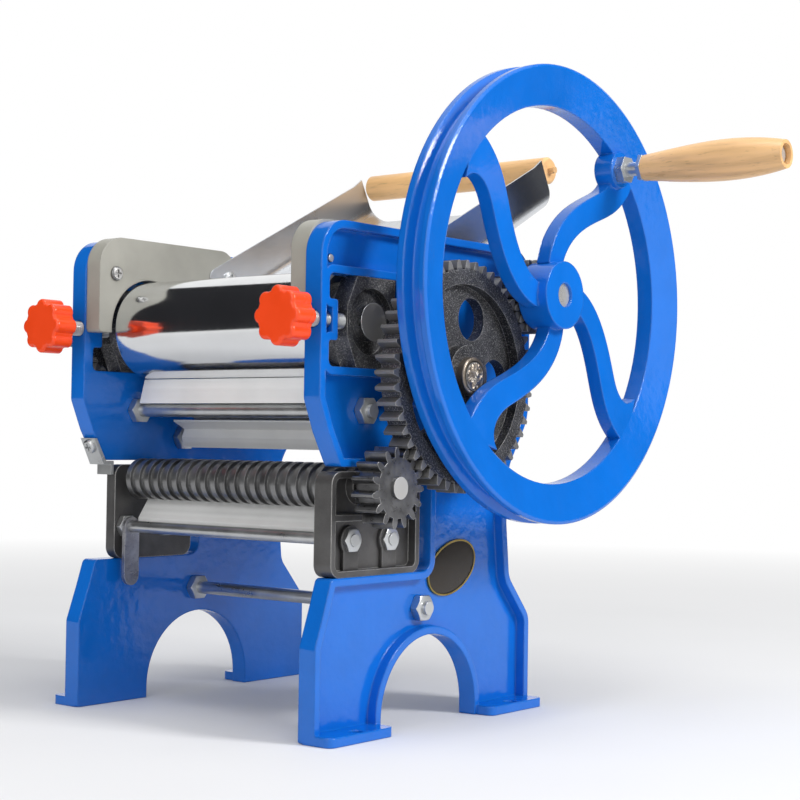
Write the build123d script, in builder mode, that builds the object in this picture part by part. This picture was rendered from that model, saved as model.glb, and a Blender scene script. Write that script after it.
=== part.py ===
from build123d import *
import math
import os

# Hand-cranked noodle machine: two enamelled side frames carry a pair of sheeting
# rollers, a feed tray, a spoked handwheel with its gear train and a lift-out
# cutter cassette.  X runs along the rollers (handwheel side positive), Y runs
# rearwards and Z is up.  The origin lies between the four foot holes.

# ---------------------------------------------------------------- clearances
running_gap = 0.05        # radial gap of a turning shaft in its bore
slide_gap = 0.3           # gap of a sliding or free face
seat_gap = 0.3            # gap between a piece and what it rests near
bolt_gap = 0.2            # radial gap of a rod or screw in its hole

cut_over = 1.0            # how far a cut runs past the face that it opens

# --------------------------------------------------------- sheeting rollers
roller_r = 33.5
roller_half = 86.0
front_axis = (-65.0, 257.0)
rear_axis = (-5.0, 225.0)
journal_r = 12.0
roller_end_chamfer = 1.0

# --------------------------------------------------------------- side frames
roller_end_space = 14.0   # from a roller's end to the frame
web_t = 6.0
rim_depth = 13.0
rim_w = 5.0
frame_front = -112.5
frame_rear = 110.0
frame_top = 318.0
frame_corner_r = 22.0
foot_front = -113.0
foot_rear = 113.0
foot_shoulder_z = 58.0
foot_step_y = -104.5
foot_step_z = 82.0
ledge_z = 99.0
ledge_front = -99.0
ledge_corner_r = 4.0
throat_r = 8.0
waist_front = -1.0
waist_rear = 84.5
waist_low_z = 90.0
waist_high_z = 165.0
head_z = 167.0
head_rear_z = 200.0
lug_front = -92.0
lug_slope_y = -104.0
lug_slope_z = 188.0
nose_z = 208.0
blend_r = 14.0
rear_blend_r = 30.0
arch_r = 50.0
arch_z = 8.0
flange_reach = 13.0       # foot flange beyond the rim
flange_t = 6.0
foot_length = 61.0
flange_corner_r = 5.0
foot_hole_r = 4.5
foot_hole_y = 82.0
foot_hole_out = 19.5      # from the frame's inner face
boss_w = 8.0              # collar of metal round a shaft bore

rear_lean = 1.0           # the rear edge leans by this between waist and head
foot_edge_r = 2.0
boss_edge_r = 2.0
# --------------------------------------------- front bearings in the windows
window_low = 228.0
window_high = 285.0
window_front = -105.0
window_rear = -38.0
window_corner_r = 4.0
window_boss_depth = 8.0
window_boss_half = 12.5
block_rear = -42.0
block_front = -88.0
block_nose_half = 9.5
block_cut_y = 9.0
block_recess_r = 21.0
block_recess = 5.0
block_boss_r = 26.0
block_boss_gap = 2.0      # from the roller's end to the block's boss
screw_out = 6.5           # from the frame's inner face
screw_z = 256.5
screw_r = 5.0
screw_pocket = 6.0
knob_back = -130.0
knob_t = 16.0
knob_r = 18.0
knob_lobes = 8
knob_lobe_r = 5.0
knob_neck_r = 9.0
knob_neck_t = 4.0
knob_edge_r = 2.0

# ---------------- gearing, places along X measured out from the frame's inner face
gear_module = 3.0
drive_teeth = 48
pinion_teeth = 15
roller_gear_teeth = 22
cutter_module = 2.0
cutter_teeth = 13
pressure_angle = 20.0
backlash = 0.6
addendum_share = 0.9
dedendum_share = 1.2
tall_addendum = 3.9
tall_dedendum = 2.8
drive_gear_out = 28.0
drive_gear_t = 15.0
drive_web_t = 8.0
drive_web_r = 59.0
drive_hub_r = 20.0
drive_hub_out = 44.5
drive_hole_r = 14.0
drive_hole_pitch_r = 40.0
drive_hole_count = 5
drive_hole_angle = 70.0
gear_nut_r = 12.5
shaft_step = 2.0          # how much thinner the rear roller's end is in the gear
front_end_out = 2.0       # how far the front roller's end stands out of the frame
gear_nut_t = 5.0
drive_pinion_out = 26.0
drive_pinion_t = 18.0
pinion_hub_r = 15.0
cutter_pinion_out = 22.0
cutter_pinion_t = 17.0
roller_gear_out = 16.0
roller_gear_t = 15.0
cutter_gear_out = 14.0
cutter_gear_t = 7.0

# ----- handwheel and handle, places along X measured out from the frame's inner face
shaft_axis = (70.5, 281.8)
shaft_r = 8.0
shaft_left_out = 18.0
shaft_right_out = 66.0
wheel_r = 152.5
wheel_rim_h = 26.5        # from the rim's inner edge to its periphery
wheel_back_out = 46.0
wheel_front_out = 68.0
wheel_slope = 7.0         # how far the rim face falls back towards its inner edge
wheel_inner_step = 3.0    # how far the rim's back falls in at its inner edge
wheel_inner_bevel = 6.0
groove_w = 12.0
groove_floor_w = 6.0
groove_depth = 6.0
hub_r = 22.6
hub_back_out = 45.5
spoke_count = 4
spoke_angle = 50.0
spoke_lead = 45.0         # how far a spoke leans round where it leaves the hub
spoke_w_in = 16.0
spoke_w_out = 19.0
spoke_flare = 16.0
spoke_back_out = 51.0
spoke_front_out = 61.0
spoke_steps = 7
handle_angle = 51.7
handle_inset = 33.5       # from the wheel's periphery to the handle's axis
handle_boss_r = 12.5
handle_boss_out = 65.0
handle_bolt_r = 5.0
bolt_head_af = 17.0
bolt_head_t = 6.0
grip_start_out = 85.0
grip_length = 106.0
grip_neck_r = 9.0
grip_max_r = 14.0
grip_tip_r = 9.5
grip_bulge = 0.62         # where along the grip it is thickest
grip_recess_r = 7.0
grip_recess_depth = 8.0

grip_belly = 1.0
grip_shoulder = 2.0
spoke_root = 4.0          # how deep a spoke starts inside the hub
spoke_tip = 3.0           # how deep a spoke ends inside the rim
wheel_face_step = 1.0
wheel_edge_step = 2.0
bolt_head_space = 1.0     # round the bolt's head in the grip's recess

# -------------------------------------------------------------------- cheeks
cheek_t = 13.0
cheek_front = -111.5
cheek_low = 254.0
cheek_top = 319.5
cheek_round_r = 20.0
cheek_rear = 34.0
cheek_rear_top = 303.0
cheek_top_rear = 8.0
cheek_tail_z = 240.0
cheek_tail_y = 28.0
cheek_arc_gap = 1.5
cheek_screw = (-97.0, 294.5)
tray_screw = (12.0, 300.0)
small_screw_r = 2.5
small_head_r = 5.0
small_head_t = 2.5

cheek_toe_r = 3.0
cheek_tail_r = 2.0
screw_end_out = 1.0       # how far the small screws stand out of the web

# ----------------------------------------------------------------- feed tray
tray_t = 1.2
tray_bend_r = 16.0
tray_depth = 60.0
tray_start = (2.0, 264.0)
tray_angle = 28.0
tray_run = 200.0
tray_lead_in = 30.0
wing_front = (-9.0, 303.0)
wing_mid = (40.0, 328.0)
wing_back = (152.0, 385.0)
wing_tip = (171.0, 399.0)
wing_tip_back = (183.0, 394.0)
wing_rear = (187.0, 362.0)
floor_end = (168.0, 350.0)
wing_corner_r = 6.0
rod_axis = (174.0, 386.0)
dough_rod_r = 10.0
dough_rod_pin_r = 2.5
dough_rod_pin = 5.0
dough_rod_edge = 1.5

tray_fold_r = 3.0

# ------------------------------------------------------ tie rods and scrapers
tie_r = 4.5
front_tie = (-63.6, 201.8)
rear_tie = (-20.0, 183.3)
lower_tie = (-4.0, 75.0)
nut_af = 16.0
nut_t = 6.0
rod_end = 3.0
scraper_end_gap = 10.0    # from a scraper's end to the frame
scraper_front_angle = -92.0
scraper_rear_angle = -120.0
scraper_wall = 2.4
scraper_lip_drop = 4.5
scraper_lip_out = 7.0
scraper_shelf = 9.0
scraper_shelf_rise = 6.0
scraper_catch = 16.0      # how far the rear scraper's catching lip reaches forward

# ------------------------------------------------------------ cutter cassette
cutter_front_axis = (-68.1, 154.5)
cutter_rear_axis = (-42.1, 154.5)
ring_r = 14.0
ring_groove_r = 11.5
ring_count = 20
ring_overhang = 8.0       # how much longer the ringed length is than the rollers
ring_w = 4.2
cutter_journal_r = 7.0
cassette_right_gap = 2.0  # how far the right plate stands in from the frame
cassette_right_t = 14.0
cassette_left_gap = 2.5
cassette_left_t = 8.5
cassette_front = -99.0
cassette_left_front = -85.0
cassette_rear = -12.0
cassette_top = 164.0
cassette_corner_r = 8.0
cassette_rim_w = 4.0
cassette_recess = 6.0     # depth of the hollow in the right plate's outer side
cassette_left_recess = 4.0
cassette_rib_t = 4.0
cassette_rods = ((-76.0, 121.5), (-38.5, 121.0))
cassette_rod_r = 4.0
cassette_nut_af = 14.0
cassette_nut_t = 5.0
cutter_end_out = 2.0      # how far the front cutter's end stands out of its pinion
rod_end_out = 1.0
comb_t = 1.6
comb_end_gap = 12.0
comb_drop = 3.0
comb_rise = 6.0
comb_angle = -48.0
comb_gap = 0.4            # round the rings in a comb's slots
comb_tip_gap = 1.0        # from a finger's tip to the groove it reaches into
tab_length = 34.0
tab_w = 13.0
tab_t = 3.0

# ------------------------------------------------------- hook bracket, plaque
hook_t = 2.5
hook_w = 14.0
hook_top = 182.0
hook_low = 157.0
hook_screw_z = 176.5
plaque_at = (30.0, 99.5)
plaque_w = 54.0
plaque_h = 34.0
plaque_tilt = 20.0
plaque_t = 1.5


def face_from(points, radii):
    """Closed outline through points with a rounding radius at each."""
    with BuildSketch() as made:
        with BuildLine():
            FilletPolyline(*points, radius=radii, close=True)
        make_face()
    return made.sketch


def polar(radius, degrees, centre=(0.0, 0.0)):
    """Point at a radius and angle about a centre, from +Y towards +Z."""
    turn = math.radians(degrees)
    return (centre[0] + radius * math.cos(turn), centre[1] + radius * math.sin(turn))


def bearing(start, end):
    """Angle in degrees of the line from one axis to another."""
    return math.degrees(math.atan2(end[1] - start[1], end[0] - start[0]))


def gear_face(module, teeth, phase, addendum, dedendum):
    """Involute gear outline about the origin, one tooth centred on phase degrees."""
    pitch_r = module * teeth / 2
    base_r = pitch_r * math.cos(math.radians(pressure_angle))
    tip_r = pitch_r + addendum
    root_r = pitch_r - dedendum

    def involute(radius):
        ratio = base_r / max(radius, base_r)
        roll = math.acos(ratio)
        return math.tan(roll) - roll

    half_at_pitch = (math.pi * module / 2 - backlash) / (2 * pitch_r)

    def half_angle(radius):
        return math.degrees(half_at_pitch + involute(pitch_r) - involute(radius))

    with BuildSketch() as made:
        with BuildLine():
            step = 360 / teeth
            for tooth in range(teeth):
                middle = phase + tooth * step
                wide = half_angle(root_r)
                mean = half_angle(pitch_r)
                slim = half_angle(tip_r)
                foot_a = polar(root_r, middle - wide)
                foot_b = polar(root_r, middle + wide)
                head_a = polar(tip_r, middle - slim)
                head_b = polar(tip_r, middle + slim)
                ThreePointArc(foot_a, polar(pitch_r, middle - mean), head_a)
                Line(head_a, head_b)
                ThreePointArc(head_b, polar(pitch_r, middle + mean), foot_b)
                Line(foot_b, polar(root_r, middle + step - wide))
        make_face()
    return made.sketch


def meshing_phase(centre_a, phase_a, teeth_a, centre_b, teeth_b):
    """Tooth angle of gear b whose gap meets a tooth of gear a."""
    line = bearing(centre_a, centre_b)
    step_a = 360 / teeth_a
    step_b = 360 / teeth_b
    share = ((line - phase_a) / step_a) % 1.0
    return line + 180 + step_b * (share + 0.5)


def axis_plane(axis):
    """Plane through an axis along X, for profiles of turned pieces."""
    return Plane(origin=(0, axis[0], axis[1]), x_dir=(1, 0, 0), z_dir=(0, -1, 0))


def x_axis(axis):
    return Axis((0, axis[0], axis[1]), (1, 0, 0))


os.makedirs("parts", exist_ok=True)

# derived sizes
frame_inner = roller_half + roller_end_space
foot_hole_x = frame_inner + foot_hole_out
block_boss_x = roller_half + block_boss_gap
screw_x = frame_inner + screw_out
drive_gear_x = frame_inner + drive_gear_out
drive_hub_x = frame_inner + drive_hub_out
drive_pinion_x = frame_inner + drive_pinion_out
cutter_pinion_x = frame_inner + cutter_pinion_out
roller_gear_x = frame_inner + roller_gear_out
cutter_gear_x = frame_inner + cutter_gear_out
shaft_left = -frame_inner - shaft_left_out
shaft_right = frame_inner + shaft_right_out
wheel_inner_r = wheel_r - wheel_rim_h
wheel_back = frame_inner + wheel_back_out
wheel_front = frame_inner + wheel_front_out
wheel_inner_back = wheel_back + wheel_inner_step
hub_back = frame_inner + hub_back_out
spoke_back = frame_inner + spoke_back_out
spoke_front = frame_inner + spoke_front_out
handle_pitch_r = wheel_r - handle_inset
handle_boss_front = frame_inner + handle_boss_out
grip_start = frame_inner + grip_start_out
scraper_half = frame_inner - scraper_end_gap
cassette_right_in = frame_inner - cassette_right_gap
cassette_left_in = -frame_inner + cassette_left_gap
comb_half = frame_inner - comb_end_gap
frame_outer = frame_inner + rim_depth
hook_out = -frame_outer
web_outer = frame_inner + web_t
handle_axis = polar(handle_pitch_r, handle_angle, shaft_axis)
rear_end_r = journal_r - shaft_step
long_addendum = gear_module * addendum_share
full_dedendum = gear_module * dedendum_share
ring_pitch = (2 * roller_half + ring_overhang) / ring_count
cutter_addendum = cutter_module * addendum_share
cutter_dedendum = cutter_module * dedendum_share

# ---------------------------------------------------------------- side frames
frame_points = [
    (foot_front, 0.0),
    (foot_rear, 0.0),
    (foot_rear, foot_shoulder_z + ledge_corner_r),
    (waist_rear + ledge_corner_r, waist_low_z),
    (waist_rear, (waist_low_z + waist_high_z) / 2),
    (waist_rear + rear_lean, waist_high_z),
    (frame_rear - rear_lean, head_rear_z),
    (frame_rear, frame_top),
    (frame_front, frame_top),
    (frame_front, nose_z),
    (lug_slope_y, lug_slope_z),
    (lug_front, head_z),
    (waist_front, head_z),
    (waist_front, ledge_z),
    (ledge_front, ledge_z),
    (foot_step_y, foot_step_z),
    (foot_front, foot_shoulder_z),
]
frame_radii = [
    foot_edge_r,
    foot_edge_r,
    blend_r,
    blend_r,
    blend_r,
    rear_blend_r,
    rear_blend_r,
    frame_corner_r,
    frame_corner_r,
    throat_r,
    throat_r,
    ledge_corner_r,
    throat_r,
    throat_r,
    ledge_corner_r,
    throat_r,
    throat_r,
]
frame_face = face_from(frame_points, frame_radii)

screw_boss_z = screw_z
window_points = [
    (window_front, window_low),
    (window_rear, window_low),
    (window_rear, window_high),
    (window_front, window_high),
    (window_front, screw_boss_z + window_boss_half),
    (window_front + window_boss_depth, screw_boss_z + window_boss_half),
    (window_front + window_boss_depth, screw_boss_z - window_boss_half),
    (window_front, screw_boss_z - window_boss_half),
]
window_face = face_from(window_points, [window_corner_r] * 4 + [boss_edge_r] * 4)

with BuildPart() as right_frame:
    with BuildSketch(Plane.YZ.offset(frame_inner)):
        add(frame_face)
        with Locations((0.0, arch_z)):
            Circle(arch_r, mode=Mode.SUBTRACT)
        with Locations((0.0, 0.0)):
            Rectangle(2 * arch_r, 2 * arch_z, mode=Mode.SUBTRACT)
        add(window_face, mode=Mode.SUBTRACT)
        with Locations(rear_axis):
            Circle(journal_r + running_gap, mode=Mode.SUBTRACT)
        with Locations(shaft_axis):
            Circle(shaft_r + running_gap, mode=Mode.SUBTRACT)
        with Locations(front_tie, rear_tie, lower_tie):
            Circle(tie_r + bolt_gap, mode=Mode.SUBTRACT)
        with Locations(cheek_screw, tray_screw):
            Circle(small_screw_r + bolt_gap, mode=Mode.SUBTRACT)
    extrude(amount=rim_depth)
    # the outer side is hollowed down to the web inside a raised rim
    with BuildSketch(Plane.YZ.offset(web_outer)):
        add(offset(frame_face, amount=-rim_w, mode=Mode.PRIVATE))
        with Locations((0.0, arch_z)):
            Circle(arch_r + rim_w, mode=Mode.SUBTRACT)
        with Locations((0.0, 0.0)):
            Rectangle(2 * (arch_r + rim_w), 2 * arch_z, mode=Mode.SUBTRACT)
        add(offset(window_face, amount=rim_w, mode=Mode.PRIVATE), mode=Mode.SUBTRACT)
        with Locations(rear_axis):
            Circle(journal_r + boss_w, mode=Mode.SUBTRACT)
        with Locations(shaft_axis):
            Circle(shaft_r + boss_w, mode=Mode.SUBTRACT)
    extrude(amount=rim_depth, mode=Mode.SUBTRACT)
    # foot flanges with their bolt holes
    with BuildSketch(Plane.XY):
        flange_mid = (foot_rear - foot_length / 2)
        with Locations((frame_inner + (rim_depth + flange_reach) / 2, flange_mid),
                       (frame_inner + (rim_depth + flange_reach) / 2, -flange_mid)):
            RectangleRounded(rim_depth + flange_reach, foot_length, flange_corner_r)
        with Locations((foot_hole_x, foot_hole_y), (foot_hole_x, -foot_hole_y)):
            Circle(foot_hole_r, mode=Mode.SUBTRACT)
    extrude(amount=flange_t)
    # screw holes through the front edge into the window
    with BuildSketch(Plane.XZ.offset(-frame_front + cut_over)):
        with Locations((screw_x, screw_z)):
            Circle(screw_r + slide_gap)
    extrude(amount=frame_front - window_front - window_boss_depth - 2 * cut_over, mode=Mode.SUBTRACT)
right_frame.part.label = "right_frame"
export_step(right_frame.part, "parts/right_frame.step")

with BuildPart() as left_frame:
    mirror(right_frame.part, about=Plane.YZ)
left_frame.part.label = "left_frame"
export_step(left_frame.part, "parts/left_frame.step")

# ------------------------------------------------------ front bearing blocks
block_points = [
    (block_rear, window_low + slide_gap),
    (block_front + block_cut_y, window_low + slide_gap),
    (block_front, screw_z - block_nose_half),
    (block_front, screw_z + block_nose_half),
    (block_front + block_cut_y, window_high - slide_gap),
    (block_rear, window_high - slide_gap),
]
with BuildPart() as bearing_block_right:
    with BuildSketch(Plane.YZ.offset(frame_inner)):
        with BuildLine():
            Polyline(*block_points, close=True)
        make_face()
    extrude(amount=rim_depth)
    with BuildSketch(Plane.YZ.offset(block_boss_x)):
        with Locations(front_axis):
            Circle(block_boss_r)
    extrude(amount=frame_inner - block_boss_x)
    with BuildSketch(Plane.YZ.offset(block_boss_x)):
        with Locations(front_axis):
            Circle(journal_r + running_gap)
    extrude(amount=frame_outer - block_boss_x, mode=Mode.SUBTRACT)
    with BuildSketch(Plane.YZ.offset(frame_outer - block_recess)):
        with Locations(front_axis):
            Circle(block_recess_r)
    extrude(amount=block_recess, mode=Mode.SUBTRACT)
    with BuildSketch(Plane.XZ.offset(-block_front)):
        with Locations((screw_x, screw_z)):
            Circle(screw_r + slide_gap)
    extrude(amount=-screw_pocket, mode=Mode.SUBTRACT)
bearing_block_right.part.label = "bearing_block_right"
export_step(bearing_block_right.part, "parts/bearing_block_right.step")

with BuildPart() as bearing_block_left:
    mirror(bearing_block_right.part, about=Plane.YZ)
bearing_block_left.part.label = "bearing_block_left"
export_step(bearing_block_left.part, "parts/bearing_block_left.step")


# --------------------------------------------------------- sheeting rollers
def turned(axis, steps):
    """Profile of a turned piece: pairs of (x, radius) from its left end on."""
    points = [(steps[0][0], 0.0)] + list(steps) + [(steps[-1][0], 0.0)]
    with BuildSketch() as made:
        with BuildLine():
            Polyline(*points, close=True)
        make_face()
    return made.sketch


gear_left_end = -(roller_gear_x + roller_gear_t)
front_profile = turned(front_axis, [
    (gear_left_end, journal_r),
    (-roller_half, journal_r),
    (-roller_half, roller_r - roller_end_chamfer),
    (-roller_half + roller_end_chamfer, roller_r),
    (roller_half - roller_end_chamfer, roller_r),
    (roller_half, roller_r - roller_end_chamfer),
    (roller_half, journal_r),
    (frame_outer + front_end_out, journal_r),
])
with BuildPart() as front_roller:
    with BuildSketch(axis_plane(front_axis)):
        add(front_profile)
    revolve(axis=x_axis(front_axis))
front_roller.part.label = "front_roller"
export_step(front_roller.part, "parts/front_roller.step")

rear_profile = turned(rear_axis, [
    (gear_left_end, journal_r),
    (-roller_half, journal_r),
    (-roller_half, roller_r - roller_end_chamfer),
    (-roller_half + roller_end_chamfer, roller_r),
    (roller_half - roller_end_chamfer, roller_r),
    (roller_half, roller_r - roller_end_chamfer),
    (roller_half, journal_r),
    (drive_gear_x, journal_r),
    (drive_gear_x, rear_end_r),
    (drive_hub_x + gear_nut_t, rear_end_r),
])
with BuildPart() as rear_roller:
    with BuildSketch(axis_plane(rear_axis)):
        add(rear_profile)
    revolve(axis=x_axis(rear_axis))
rear_roller.part.label = "rear_roller"
export_step(rear_roller.part, "parts/rear_roller.step")

# ------------------------------------------------------------------- gearing
drive_face = gear_face(gear_module, drive_teeth, 0.0, long_addendum, full_dedendum)
with BuildPart() as drive_gear:
    with BuildSketch(Plane.YZ.offset(drive_gear_x)):
        with Locations(rear_axis):
            add(drive_face)
    extrude(amount=drive_gear_t)
    # the web between rim and hub is thinner than the rim, on the outer side
    with BuildSketch(Plane.YZ.offset(drive_gear_x + drive_web_t)):
        with Locations(rear_axis):
            Circle(drive_web_r)
            Circle(drive_hub_r, mode=Mode.SUBTRACT)
    extrude(amount=drive_gear_t, mode=Mode.SUBTRACT)
    with BuildSketch(Plane.YZ.offset(drive_gear_x)):
        with Locations(rear_axis):
            Circle(drive_hub_r)
    extrude(amount=drive_hub_x - drive_gear_x)
    with BuildSketch(Plane.YZ.offset(drive_gear_x)):
        with Locations(rear_axis):
            Circle(rear_end_r + running_gap)
            with PolarLocations(drive_hole_pitch_r, drive_hole_count, drive_hole_angle):
                Circle(drive_hole_r)
    extrude(amount=drive_hub_x - drive_gear_x, mode=Mode.SUBTRACT)
drive_gear.part.label = "drive_gear"
export_step(drive_gear.part, "parts/drive_gear.step")

with BuildPart() as drive_gear_nut:
    with BuildSketch(Plane.YZ.offset(drive_hub_x)):
        with Locations(rear_axis):
            Circle(gear_nut_r)
            Circle(rear_end_r + running_gap, mode=Mode.SUBTRACT)
    extrude(amount=gear_nut_t)
drive_gear_nut.part.label = "drive_gear_nut"
export_step(drive_gear_nut.part, "parts/drive_gear_nut.step")

drive_pinion_phase = meshing_phase(rear_axis, 0.0, drive_teeth, shaft_axis, pinion_teeth)
drive_pinion_face = gear_face(gear_module, pinion_teeth, drive_pinion_phase,
                              long_addendum, full_dedendum)
with BuildPart() as drive_pinion:
    with BuildSketch(Plane.YZ.offset(drive_pinion_x)):
        with Locations(shaft_axis):
            add(drive_pinion_face)
    extrude(amount=drive_pinion_t)
    with BuildSketch(Plane.YZ.offset(frame_outer + seat_gap)):
        with Locations(shaft_axis):
            Circle(pinion_hub_r)
    extrude(amount=drive_pinion_x - frame_outer - seat_gap)
    with BuildSketch(Plane.YZ.offset(frame_outer)):
        with Locations(shaft_axis):
            Circle(shaft_r + running_gap)
    extrude(amount=drive_pinion_x + drive_pinion_t - frame_outer, mode=Mode.SUBTRACT)
drive_pinion.part.label = "drive_pinion"
export_step(drive_pinion.part, "parts/drive_pinion.step")

rear_gear_face = gear_face(gear_module, roller_gear_teeth, 0.0, tall_addendum, tall_dedendum)
with BuildPart() as rear_roller_gear:
    with BuildSketch(Plane.YZ.offset(gear_left_end)):
        with Locations(rear_axis):
            add(rear_gear_face)
            Circle(journal_r + running_gap, mode=Mode.SUBTRACT)
    extrude(amount=roller_gear_t)
rear_roller_gear.part.label = "rear_roller_gear"
export_step(rear_roller_gear.part, "parts/rear_roller_gear.step")

front_gear_phase = meshing_phase(rear_axis, 0.0, roller_gear_teeth, front_axis, roller_gear_teeth)
front_gear_face = gear_face(gear_module, roller_gear_teeth, front_gear_phase,
                            tall_addendum, tall_dedendum)
with BuildPart() as front_roller_gear:
    with BuildSketch(Plane.YZ.offset(gear_left_end)):
        with Locations(front_axis):
            add(front_gear_face)
            Circle(journal_r + running_gap, mode=Mode.SUBTRACT)
    extrude(amount=roller_gear_t)
front_roller_gear.part.label = "front_roller_gear"
export_step(front_roller_gear.part, "parts/front_roller_gear.step")

# ------------------------------------------------------ handwheel and handle
with BuildPart() as drive_shaft:
    with BuildSketch(Plane.YZ.offset(shaft_left)):
        with Locations(shaft_axis):
            Circle(shaft_r)
    extrude(amount=shaft_right - shaft_left)
drive_shaft.part.label = "drive_shaft"
export_step(drive_shaft.part, "parts/drive_shaft.step")

groove_mid = (wheel_back + wheel_front) / 2
rim_points = [
    (wheel_inner_back, wheel_inner_r),
    (wheel_back, wheel_inner_r + wheel_inner_bevel),
    (wheel_back, wheel_r),
    (groove_mid - groove_w / 2, wheel_r),
    (groove_mid - groove_floor_w / 2, wheel_r - groove_depth),
    (groove_mid + groove_floor_w / 2, wheel_r - groove_depth),
    (groove_mid + groove_w / 2, wheel_r),
    (wheel_front - wheel_face_step, wheel_r),
    (wheel_front, wheel_r - wheel_edge_step),
    (wheel_front - wheel_slope, wheel_inner_r),
]


def spoke_face():
    """Outline of one S-shaped spoke about the wheel's axis."""
    start_r = hub_r - spoke_root
    end_r = wheel_inner_r + spoke_tip
    middles = []
    widths = []
    for step in range(spoke_steps + 1):
        share = step / spoke_steps
        lean = spoke_lead * (1 - share) ** 2 - spoke_lead * share ** 2 * (1 - share)
        middles.append(Vector(*polar(start_r + share * (end_r - start_r), spoke_angle + lean)))
        width = spoke_w_in + (spoke_w_out - spoke_w_in) * share + spoke_flare * share ** 8
        widths.append(width)
    side_a = []
    side_b = []
    for step in range(spoke_steps + 1):
        ahead = middles[min(step + 1, spoke_steps)]
        behind = middles[max(step - 1, 0)]
        along = (ahead - behind).normalized()
        across = Vector(-along.Y, along.X) * widths[step] / 2
        side_a.append(middles[step] + across)
        side_b.append(middles[step] - across)
    with BuildSketch() as made:
        with BuildLine():
            Spline(*side_a)
            Line(side_a[-1], side_b[-1])
            Spline(*side_b)
            Line(side_b[0], side_a[0])
        make_face()
    return made.sketch


one_spoke = spoke_face()
with BuildPart() as handwheel:
    with BuildSketch(axis_plane(shaft_axis)):
        with BuildLine():
            Polyline(*rim_points, close=True)
        make_face()
    revolve(axis=x_axis(shaft_axis))
    with BuildSketch(Plane.YZ.offset(spoke_back)):
        with Locations(shaft_axis):
            with PolarLocations(0, spoke_count):
                add(one_spoke)
    extrude(amount=spoke_front - spoke_back)
    with BuildSketch(Plane.YZ.offset(spoke_back)):
        with Locations(handle_axis):
            Circle(handle_boss_r)
    extrude(amount=handle_boss_front - spoke_back)
    with BuildSketch(Plane.YZ.offset(hub_back)):
        with Locations(shaft_axis):
            Circle(hub_r)
    extrude(amount=wheel_front - hub_back)
    with BuildSketch(Plane.YZ.offset(hub_back)):
        with Locations(shaft_axis):
            Circle(shaft_r + running_gap)
    extrude(amount=wheel_front - hub_back, mode=Mode.SUBTRACT)
    with BuildSketch(Plane.YZ.offset(wheel_back)):
        with Locations(handle_axis):
            Circle(handle_bolt_r + bolt_gap)
    extrude(amount=wheel_front - wheel_back, mode=Mode.SUBTRACT)
handwheel.part.label = "handwheel"
export_step(handwheel.part, "parts/handwheel.step")

bolt_end = grip_start + grip_length - grip_recess_depth + seat_gap
with BuildPart() as handle_bolt:
    with BuildSketch(Plane.YZ.offset(spoke_back)):
        with Locations(handle_axis):
            Circle(handle_bolt_r)
    extrude(amount=bolt_end - spoke_back)
    with BuildSketch(Plane.YZ.offset(handle_boss_front)):
        with Locations(handle_axis):
            RegularPolygon(bolt_head_af / 2, 6, major_radius=False)
    extrude(amount=bolt_head_t)
    with BuildSketch(Plane.YZ.offset(grip_start - seat_gap - bolt_head_t / 2)):
        with Locations(handle_axis):
            RegularPolygon(bolt_head_af / 2, 6, major_radius=False)
    extrude(amount=bolt_head_t / 2)
    with BuildSketch(Plane.YZ.offset(bolt_end)):
        with Locations(handle_axis):
            Circle(grip_recess_r - bolt_head_space)
    extrude(amount=grip_recess_depth / 2)
handle_bolt.part.label = "handle_bolt"
export_step(handle_bolt.part, "parts/handle_bolt.step")

grip_end = grip_start + grip_length
with BuildPart() as handle_grip:
    with BuildSketch(axis_plane(handle_axis)):
        with BuildLine():
            Spline(
                (grip_start, grip_neck_r),
                (grip_start + grip_length * grip_bulge / 2, (grip_neck_r + grip_max_r) / 2 + grip_belly),
                (grip_start + grip_length * grip_bulge, grip_max_r),
                (grip_end - grip_length / 10, grip_tip_r + grip_shoulder),
                (grip_end, grip_tip_r),
            )
            Polyline(
                (grip_end, grip_tip_r),
                (grip_end, grip_recess_r),
                (grip_end - grip_recess_depth, grip_recess_r),
                (grip_end - grip_recess_depth, handle_bolt_r + running_gap),
                (grip_start, handle_bolt_r + running_gap),
                (grip_start, grip_neck_r),
            )
        make_face()
    revolve(axis=x_axis(handle_axis))
handle_grip.part.label = "handle_grip"
export_step(handle_grip.part, "parts/handle_grip.step")


# -------------------------------------------------------- knobs and screws
def knob_face():
    """Lobed outline of a clamping knob."""
    with BuildSketch() as made:
        Circle(knob_r - knob_lobe_r / 2)
        with PolarLocations(knob_r - knob_lobe_r, knob_lobes):
            Circle(knob_lobe_r)
    return made.sketch


lobed = knob_face()


def adjusting_knob(side):
    """Knob on its screw axis, open for the screw, for one side of the machine."""
    with BuildPart() as made:
        with BuildSketch(Plane.XZ.offset(-knob_back)):
            with Locations((side * screw_x, screw_z)):
                add(lobed)
        extrude(amount=knob_t)
        fillet(made.faces().sort_by(Axis.Y)[0].edges(), knob_edge_r)
        with BuildSketch(Plane.XZ.offset(-knob_back)):
            with Locations((side * screw_x, screw_z)):
                Circle(knob_neck_r)
        extrude(amount=-knob_neck_t)
        with BuildSketch(Plane.XZ.offset(-knob_back)):
            with Locations((side * screw_x, screw_z)):
                Circle(screw_r + running_gap)
        extrude(amount=-knob_neck_t, mode=Mode.SUBTRACT)
        with BuildSketch(Plane.XZ.offset(-knob_back)):
            with Locations((side * screw_x, screw_z)):
                Circle(screw_r + running_gap)
        extrude(amount=knob_t / 2, mode=Mode.SUBTRACT)
    return made.part


def adjusting_screw(side):
    """Threaded rod from inside the knob to the pocket of the bearing block."""
    start = knob_back - knob_t / 2 + seat_gap
    end = block_front + screw_pocket - seat_gap
    with BuildPart() as made:
        with BuildSketch(Plane.XZ.offset(-start)):
            with Locations((side * screw_x, screw_z)):
                Circle(screw_r)
        extrude(amount=-(end - start))
    return made.part


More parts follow.
